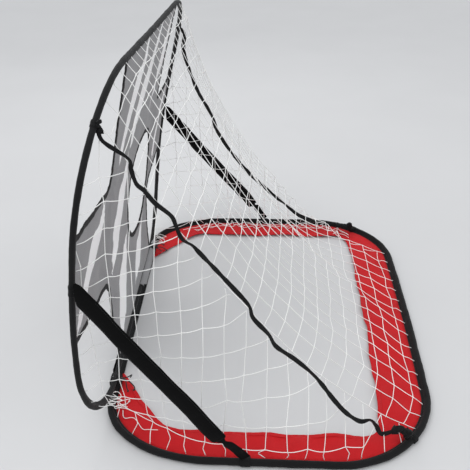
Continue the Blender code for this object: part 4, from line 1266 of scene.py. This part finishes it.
# ------------------------------------------------------------ crossing straps
ROUTE = {
    "right": [(0.138, 0.806), (0.142, 0.788), (0.154, 0.775), (0.193, 0.746), (0.196, 0.724), (0.204, 0.692),
              (0.219, 0.677), (0.238, 0.650), (0.270, 0.621), (0.279, 0.598), (0.290, 0.566), (0.312, 0.550),
              (0.328, 0.530), (0.395, 0.446), (0.431, 0.398), (0.441, 0.364), (0.476, 0.320), (0.494, 0.286),
              (0.541, 0.248), (0.590, 0.198), (0.637, 0.130), (0.668, 0.092), (0.703, 0.066), (0.728, 0.071),
              (0.744, 0.053), (0.760, 0.024), (0.790, 0.033), (0.806, 0.038), (0.826, 0.018)],
    "left": [(0.158, 0.775), (0.176, 0.752), (0.172, 0.690), (0.213, 0.564), (0.259, 0.475), (0.285, 0.401),
             (0.370, 0.275), (0.470, 0.175), (0.526, 0.130), (0.584, 0.080), (0.680, 0.046), (0.774, 0.032)],
}
STRAP_X = {"right": 0.505, "left": -0.522}


def strap(side, sx):
    pts = np.array([(STRAP_X[side] + 0.004 * sin(5.0 * k) * (side == "left"), y, z)
                    for k, (y, z) in enumerate(ROUTE[side])])
    if side == "right":             # it rides over the net's fold, further out towards the ground hoop
        out = 0.005 + 0.026 * np.clip((pts[:, 1] - 0.30) / 0.35, 0, 1) * np.clip((0.80 - pts[:, 1]) / 0.07, 0, 1)
        pts = pts + out[:, None] * np.array((1.0, -0.37 * 0, 0.79))
        pts[:, 1] -= out * 0.84 * (pts[:, 1] - 0.479)
    path = smooth_path(pts, 0.005)
    s = along(path)
    turn = 0.35 + hash_wave(s, 6 + sx, (0.23, 0.11), (0.55, 0.35))
    t = tangents(path)
    flat = np.cross(t, np.array((1.0, 0, 0)))
    flat /= np.linalg.norm(flat, axis=1, keepdims=True)
    side_dir = np.array((1.0, 0, 0)) * np.sin(turn)[:, None] + flat * np.cos(turn)[:, None]
    width = (0.0094 + 0.0028 * s / s[-1] if side == "right" else 0.0138) * (1 - 0.20 * np.clip(hash_wave(s, 3, (0.13, 0.049), (0.6, 0.5)), 0, 1))
    rows, _, _ = band(path, side_dir, width, 0.0014, seed=5 + sx)
    v, f, uv = loft(rows, cap=True)
    obj = put(f"crossing_strap_{side}", v, f, strap_look.mat, uv)
    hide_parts(f"strap_{side}")
    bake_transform(obj)

    def bow_knot(name, at, body, node, line_p, line_k, out_r, k_r, drop, seed):
        loop = wrap(name + "_loop", line_p, line_k, at, 0.0070 if body == "upright" else 0.0080, out_r, k_r, 0.0009 if body == "upright" else 0.0014, body, node, strap_look,
                    turns=2.05, drop=drop, seed=seed, lift=0.014)
        rng = np.random.default_rng(seed)
        end = path[0] if body == "upright" else path[-1]
        lumps = [end + np.array(d) for d in ((0, 0, 0.0), (0.003, -0.004, 0.007), (-0.002, 0.003, -0.006), (0.002, -0.001, 0.012))]
        if body == "upright":       # two turns of the knot, on the inner side of the hoop
            lumps = [end + np.array(d) for d in ((-sx * 0.002, 0.004, 0.0), (-sx * 0.001, 0.005, 0.016), (0, 0.002, 0.008))]
        if body == "base":          # the end is doubled back and tied round itself
            lumps += [path[-1 - n] + np.array((0, 0, 0.001)) for n in (1, 3, 4, 6, 7, 9)]
        loose = []
        for k in range(2):
            a = end + rng.normal(size=3) * 0.002
            d = np.array((-sx * (0.004 + 0.006 * k), 0.006 - 0.004 * k, -0.014 if body == "upright" else 0.006))
            d = d * (0.55 if body == "upright" else 1.0)
            tail = smooth_path(np.array([a, a + d * 0.6 + (0, 0, 0.004), a + d * 1.5]), 0.003)
            tail[:, 2] = np.maximum(tail[:, 2], 0.006)
            rr, _, _ = band(tail, np.tile((0.3, 0.2, 0.9), (len(tail), 1)), 0.0080, 0.0013, seed=seed + k)
            loose.append(loft(rr, cap=True))
        v, f, uv = joined([knots(lumps, 0.0060 if body == "upright" else 0.0115, seed), *loose])
        v[:, 2] = np.maximum(v[:, 2], 0.0008)
        knot = put(name, v, f, strap_look.mat, uv)
        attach(knot, body)
        return [loop, knot]

    top, low, _ = CREASE[side]
    with_it = bow_knot(f"strap_top_tie_{side}", top, "upright", f"strap_top_knot_{side}", UPRIGHT_P, UPRIGHT_K, 0.0084, 0.0076, 0.0, 11)
    with_it += bow_knot(f"strap_base_tie_{side}", low, "base", f"strap_base_knot_{side}", GROUND_P, GROUND_K, 0.0100, 0.0101, -0.002, 17)
    print("strap", side, round(float(s[-1]), 4))


for side, sx in SIDES:
    strap(side, sx)


# ---------------------------------------------------------------------- net
def head_line(x, off=0.0145):
    """A point just behind the top edge of the standing hoop."""
    over = np.maximum(np.abs(x) - (HALF_U - UPRIGHT_HEAD), 0.0)
    v = (TOP_V - UPRIGHT_HEAD + np.sqrt(UPRIGHT_HEAD ** 2 - over ** 2)
         + UPRIGHT_DIP * np.cos(pi / 2 * x / (HALF_U + GROUND_R)))
    return on_upright(x, v, off)


def rear_line(x, inward=0.020, z=0.020):
    """A point just inside the back edge of the ground hoop."""
    over = np.maximum(np.abs(x) - (HALF_G - GROUND_REAR), 0.0)
    y = (DEPTH_LINE - GROUND_R - GROUND_REAR + np.sqrt(GROUND_REAR ** 2 - over ** 2)
         + GROUND_BULGE * np.cos(pi / 2 * x / (HALF_G + GROUND_R)))
    return np.stack([x + 0 * y, y - inward, np.broadcast_to(z, y.shape)], -1)


NET_FOLD = {  # where the net's fold meets the ground hoop, its sag, how far forward the sag sits
    "right": (np.array((0.478, 0.846, GROUND_Z)), 0.112, 0.0),
    "left": (np.array((-0.385, 0.835, GROUND_Z)), 0.155, 0.032),
}


def fold_line(side, f):
    """Where the side of the net turns into its back slope: a hanging line."""
    a = CREASE[side][0]
    b, sag, forward = NET_FOLD[side]
    f = np.asarray(f, float)
    p = a + (b - a) * f[..., None]
    p[..., 2] = np.maximum(p[..., 2] - 4 * sag * f * (1 - f) * (1 + forward * (1 - 2 * f)), 0.012)
    return p


def back_point(u, f):
    u, f = np.broadcast_arrays(np.asarray(u, float), np.asarray(f, float))
    x_top = CREASE["left"][0][0] + (CREASE["right"][0][0] - CREASE["left"][0][0]) * u
    x_low = NET_FOLD["left"][0][0] + (NET_FOLD["right"][0][0] - NET_FOLD["left"][0][0]) * u
    uu = u[..., None]
    p = fold_line("left", f) * (1 - uu) + fold_line("right", f) * uu
    first = fold_line("left", np.zeros_like(u)) * (1 - uu) + fold_line("right", np.zeros_like(u)) * uu
    last = fold_line("left", np.ones_like(u)) * (1 - uu) + fold_line("right", np.ones_like(u)) * uu
    drawn_in = 1 + 7.9 * (1 - np.clip(u / 0.45, 0, 1))
    p = (p + (head_line(x_top) - first) * ((1 - f) ** drawn_in)[..., None]
         + (rear_line(x_low) - last) * f[..., None])
    p[..., 2] = np.maximum(p[..., 2], 0.013)
    return p


NET_I = 22          # meshes across the back
NET_J = 22          # rows down it
NET_R = 0.00095
rng = np.random.default_rng(23)
U = np.arange(NET_I + 1) / NET_I
MID = back_point(np.full(400, 0.6), np.linspace(0, 1, 400))
MID_S = along(MID)
ROW_S = 0.030 + (MID_S[-1] - 0.054) * ((np.arange(NET_J) / (NET_J - 1)) * 0.905 + 0.095 * (np.arange(NET_J) / (NET_J - 1)) ** 2)
ROW_F = np.interp(ROW_S, MID_S, np.linspace(0, 1, 400))


def column_u(i, f):
    """Even at the head; lower down the strands open out, run out over the far fold and drift to the near side."""
    top = CREASE["right"][0][0] - CREASE["left"][0][0]
    low = NET_FOLD["right"][0][0] - NET_FOLD["left"][0][0]
    span = top + (low - top) * f
    opened = np.clip((f - 0.42) / 0.44, 0, 1)
    pitch = span / NET_I + (0.0585 - span / NET_I) * opened
    u = 1 - (NET_I - i) * pitch / span
    k = np.clip((f - 0.84) / 0.15, 0, 1)
    return u + 0.040 * k * k * (3 - 2 * k) * np.clip((1 - u) / 0.15, 0, 1)


nodes, last_row = {}, {}
for j in range(NET_J):
    for i in range(NET_I + 1):
        f = ROW_F[j]
        u = column_u(i, f)
        if u < 0.014:
            continue
        last_row[i] = j
        loose = 0.7 + 0.9 * max(0.0, f - 0.6) / 0.4
        du = 0.0 if i == NET_I else rng.normal() * 0.0022 * loose
        p = back_point(u + du, f + rng.normal() * 0.0020 * loose)
        p = p + np.array((0, 0.4, 1.0)) * rng.normal() * 0.0012 * loose
        p[2] = max(p[2], 0.0115)
        nodes[i, j] = p


def hoop_top(u):
    x = CREASE["left"][0][0] + (CREASE["right"][0][0] - CREASE["left"][0][0]) * u
    return head_line(np.array(x), 0.0055)


def hoop_rear(i):
    """On the inner side of the ground hoop's sleeve."""
    v = column_u(i, 1.0)
    x = NET_FOLD["left"][0][0] + (NET_FOLD["right"][0][0] - NET_FOLD["left"][0][0]) * v
    return rear_line(np.array(x), 0.0112, GROUND_Z + 0.0035)


def sagged(points, droop, jig, wave=0.0):
    """Extra points between the knots: each stretch sags, and slack ones also wander."""
    out = [points[0]]
    for a, b in zip(points[:-1], points[1:]):
        d = b - a
        length = np.linalg.norm(d)
        if length > 0.018:
            side = np.cross(d / length, np.array((0, 0, 1.0)))
            for t in (0.33, 0.67):
                q = a + d * t
                q = q + np.array((0, 0, -1.0)) * droop * 4 * t * (1 - t) * length / 0.045
                q = q + side * rng.normal() * jig + np.array((0, 0, rng.normal() * jig * 0.6))
                q[2] = max(q[2], 0.0095)
                out.append(q)
        out.append(b)
    return np.array(out)


back_paths, back_knots = [], []
for i in range(NET_I + 1):
    pts = [hoop_top(U[i])] + [nodes[i, j] for j in range(NET_J) if (i, j) in nodes]
    if last_row.get(i, -1) == NET_J - 1:
        end = hoop_rear(i)
        last = pts[-1]
        if i < NET_I:
            pts.append(last * 0.45 + end * 0.55 + np.array((rng.normal() * 0.003 - 0.003, -0.001, 0.0)))
        pts.append(end)
    else:                       # over the fold and into the side of the net
        run = np.linspace(0, 1, 400)
        f = float(run[np.argmax(column_u(i, run) < 0.0)]) if i else 0.0
        if i == 0:
            pts = [hoop_top(0.0)] + [fold_line("left", np.array(f)) for f in (0.03, 0.06)]
        elif f > 0:
            pts.append(fold_line("left", np.array(f)))
    back_paths.append(smooth_path(sagged(pts, 0.0008, 0.0005), 0.007))
for j in range(NET_J):
    pts = [nodes[i, j] for i in range(NET_I + 1) if (i, j) in nodes]
    pts = [fold_line("left", np.array(ROW_F[j]))] + pts
    back_paths.append(smooth_path(sagged(pts, 0.0012, 0.0005), 0.007))
    back_knots += pts


def tube_at(side, sx, v):
    return on_upright(sx * side_x(v), v, 0.0)


V_LINE = np.linspace(0.02, TOP_V - 0.02, 240)
ROW_AT = [0.050, 0.103, 0.157, 0.212, 0.267, 0.322, 0.378, 0.433, 0.487, 0.542, 0.604, 0.665, 0.722]


def side_net(side, sx):
    """One side: cords up from the ground hoop to the fold, and rows back from the standing hoop that rise a little."""
    tube = np.array([tube_at(side, sx, v) for v in V_LINE])
    keep = tube[:, 2] < CREASE[side][0][2] + 0.01
    tube = tube[keep]
    top = CREASE[side][0]
    low = NET_FOLD[side][0]
    fs = np.linspace(0, 1, 300)
    line = fold_line(side, fs)

    def crease_z(y):
        return np.interp(y, line[:, 1], line[:, 2])

    def ground_x(y):
        rear = DEPTH_LINE - GROUND_R - GROUND_REAR
        q = np.clip((y - rear) / GROUND_REAR, 0, 0.97)
        front = np.clip((MOUTH_Y + GROUND_FRONT[1] - y) / GROUND_FRONT[1], 0, 0.97)
        x = HALF_G - GROUND_REAR + GROUND_REAR * np.sqrt(1 - q * q)
        return np.where(y < 0.3, HALF_G - GROUND_FRONT[0] + GROUND_FRONT[0] * np.sqrt(1 - front ** 2), x)

    def surface(y, z):
        zc = max(float(crease_z(y)) if y > top[1] else 0.86, 0.03)
        xg = float(ground_x(np.array(y)))
        h = min(max((z - GROUND_Z) / (zc - GROUND_Z), 0), 1)
        xc = abs(float(np.interp(y, line[:, 1], line[:, 0])))
        x = xg + (xc - xg) * h * h
        yt = float(np.interp(z, tube[:, 2], tube[:, 1]))
        xt = abs(float(np.interp(z, tube[:, 2], tube[:, 0])))
        a = min(max((y - yt) / 0.50, 0), 1)
        hold = 1 - h ** 4 if y > top[1] else 1.0
        return sx * (x + (xt - x) * (1 - a) ** 3 * hold)

    columns = []
    for y in (top[1] - 0.040,):
        upper = tube[tube[:, 2] > 0.45]
        k = int(np.argmin(np.abs(upper[:, 1] - y)))
        columns.append((y, upper[k] + np.array((0, 0.006, 0)), None))
    for k in range(20):
        y = top[1] + 0.008 + 0.0475 * k
        f = float(np.interp(y, line[:, 1], fs))
        head = fold_line(side, np.array(f))
        if y < low[1] - 0.02 and head[2] > 0.024:
            columns.append((y, head, k))
    paths, knot_at = [], []
    grid = {}
    wander = np.random.default_rng(31 if sx > 0 else 37)

    def row_z(k, y, yt):
        lift = 0.042 * sin(pi * min(max((ROW_AT[k] - 0.08) / 0.60, 0), 1)) ** 0.7
        return ROW_AT[k] + lift * (1 - np.exp(-max(y - yt, 0) / 0.075))

    for c, (y, head, j) in enumerate(columns):
        foot_y = min(y + wander.normal() * 0.004, low[1] - 0.03)
        xg = float(ground_x(np.array(foot_y)))
        foot = np.array((sx * (xg - 0.0098), foot_y, GROUND_Z + 0.0042))
        pts = [foot]
        for k in range(len(ROW_AT)):
            yt = float(np.interp(ROW_AT[k], tube[:, 2], tube[:, 1]))
            z = row_z(k, y, yt)
            if z > head[2] - 0.014:
                break
            loose = 1.5 if k < 3 else 0.8
            yy = y + (foot_y - y) * (1 - z / max(head[2], 0.1)) + wander.normal() * 0.0030 * loose
            zz = z + wander.normal() * 0.0030 * loose
            p = np.array((surface(yy, zz) + sx * wander.normal() * 0.0020, yy, zz))
            grid[c, k] = p
            pts.append(p)
            knot_at.append(p)
        pts.append(head)
        bow = pts[0] * 0.5 + pts[1] * 0.5 + np.array((0, wander.normal() * 0.006, 0.001))
        bow[2] = max(bow[2], 0.0105)
        pts.insert(1, bow)
        if len(pts) > 4 or head[2] > 0.03:
            paths.append(smooth_path(sagged(pts, 0.0, 0.0008), 0.007))
    for k in range(len(ROW_AT)):
        run = [c for c in range(len(columns)) if (c, k) in grid]
        t = int(np.argmin(np.abs(tube[:, 2] - ROW_AT[k])))
        if not run or ROW_AT[k] > tube[-1, 2]:
            continue
        yt = tube[t][1]
        pts = [tube[t] + np.array((-sx * 0.002, 0.0075, 0))]
        pts += [grid[c, k] for c in run if grid[c, k][1] > yt + 0.016]
        last = run[-1]
        if last + 1 < len(columns):
            y0 = pts[-1][1]
            ys = np.linspace(y0, columns[last + 1][0], 30)
            zs = np.array([row_z(k, y, yt) for y in ys]) + pts[-1][2] - row_z(k, y0, yt)
            hit = np.argmax(crease_z(ys) < zs) or len(ys) - 1
            f = float(np.interp(ys[hit], line[:, 1], fs))
            pts.append(fold_line(side, np.array(f)))
        stair = [pts[0]]
        for a, b in zip(pts[:-1], pts[1:]):
            d = b - a
            if np.linalg.norm(d) > 0.02:
                for t2, share in ((0.28, 0.16), (0.72, 0.76)):
                    q = a + d * t2
                    q[2] = a[2] + d[2] * share - 0.0030 * 4 * t2 * (1 - t2)
                    stair.append(q)
            stair.append(b)
        paths.append(smooth_path(np.array(stair), 0.007))
    return paths, knot_at, tube


def tangle(x0, y0, sx, seed):
    """The net gathered up in small loops where it has nowhere to go, at an end of the mouth."""
    r = np.random.default_rng(seed)
    paths = []
    for k in range(3 if sx > 0 else 2):
        c = np.array((x0 + sx * 0.015 * (k - 1.5), y0 + 0.005 * (k - 1.5), 0.026)) + r.normal(size=3) * np.array((0.003, 0.006, 0.004))
        size = np.array((0.018, 0.015, 0.008)) * r.uniform(0.7, 1.3)
        a0, n = r.uniform(0, 2 * pi), 9
        pts = []
        for i in range(n):
            a = a0 + i * (0.95 + 0.3 * r.uniform())
            pts.append(c + size * np.array((cos(a), sin(1.3 * a + k), sin(a + 0.7 * k))) + r.normal(size=3) * 0.002)
        pts = np.array(pts)
        pts[:, 2] = np.maximum(pts[:, 2], 0.012)
        paths.append(smooth_path(pts, 0.004))
    return paths, [p[len(p) // 2] for p in paths]


def slack_edge(side, sx):
    """The net's edge cord lies loose on the border, beside the ground hoop."""
    r = np.random.default_rng(61 + sx)
    paths = []
    count, first, stop, off = (3, 0.135, 0.775, 0.027) if side == "left" else (1, 0.100, 0.225, 0.050)
    for k in range(count):
        ys = np.arange(first + 0.02 * k, stop, 0.021)
        n = len(ys)
        front = np.clip((MOUTH_Y + GROUND_FRONT[1] - ys) / GROUND_FRONT[1], 0, 0.97)
        edge = HALF_G - GROUND_FRONT[0] + GROUND_FRONT[0] * np.sqrt(1 - front ** 2)
        pts = np.stack([sx * (edge - off - 0.013 * k + 0.0120 * np.sin(np.arange(n) * 2.3 + k) + r.normal(size=n) * 0.004),
                        ys + r.normal(size=n) * 0.006, 0.009 + 0.009 * r.uniform(size=n)], 1)
        bent = pts[:, 1] > 0.69
        pts[bent, 0] -= sx * (pts[bent, 1] - 0.69) * 0.75
        paths.append(smooth_path(pts, 0.005))
    return paths


def make_net():
    v, f, uv = joined([cord_mesh(back_paths, NET_R), knots(back_knots, 0.0019, 3)])
    obj = put("net_back_cords", v, f, net_look.mat, uv)
    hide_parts("net_back")
    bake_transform(obj)
    for side, sx in SIDES:
        paths, knot_at, tube = side_net(side, sx)
        v, f, uv = joined([cord_mesh(paths, NET_R), knots(knot_at, 0.0019, 4)])
        obj = put(f"net_side_cords_{side}", v, f, net_look.mat, uv)
        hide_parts(f"net_side_{side}")
        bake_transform(obj)
        x0 = sx * (0.435 if sx > 0 else 0.43)
        paths, at = tangle(x0, mouth(x0) + 0.026, sx, 50 + sx)
        paths += slack_edge(side, sx)
        v, f, uv = joined([cord_mesh(paths, NET_R), knots(at, 0.0027, 8)])
        obj = put(f"net_tangle_{side}", v, f, net_look.mat, uv)
        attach(obj, "base")


make_net()
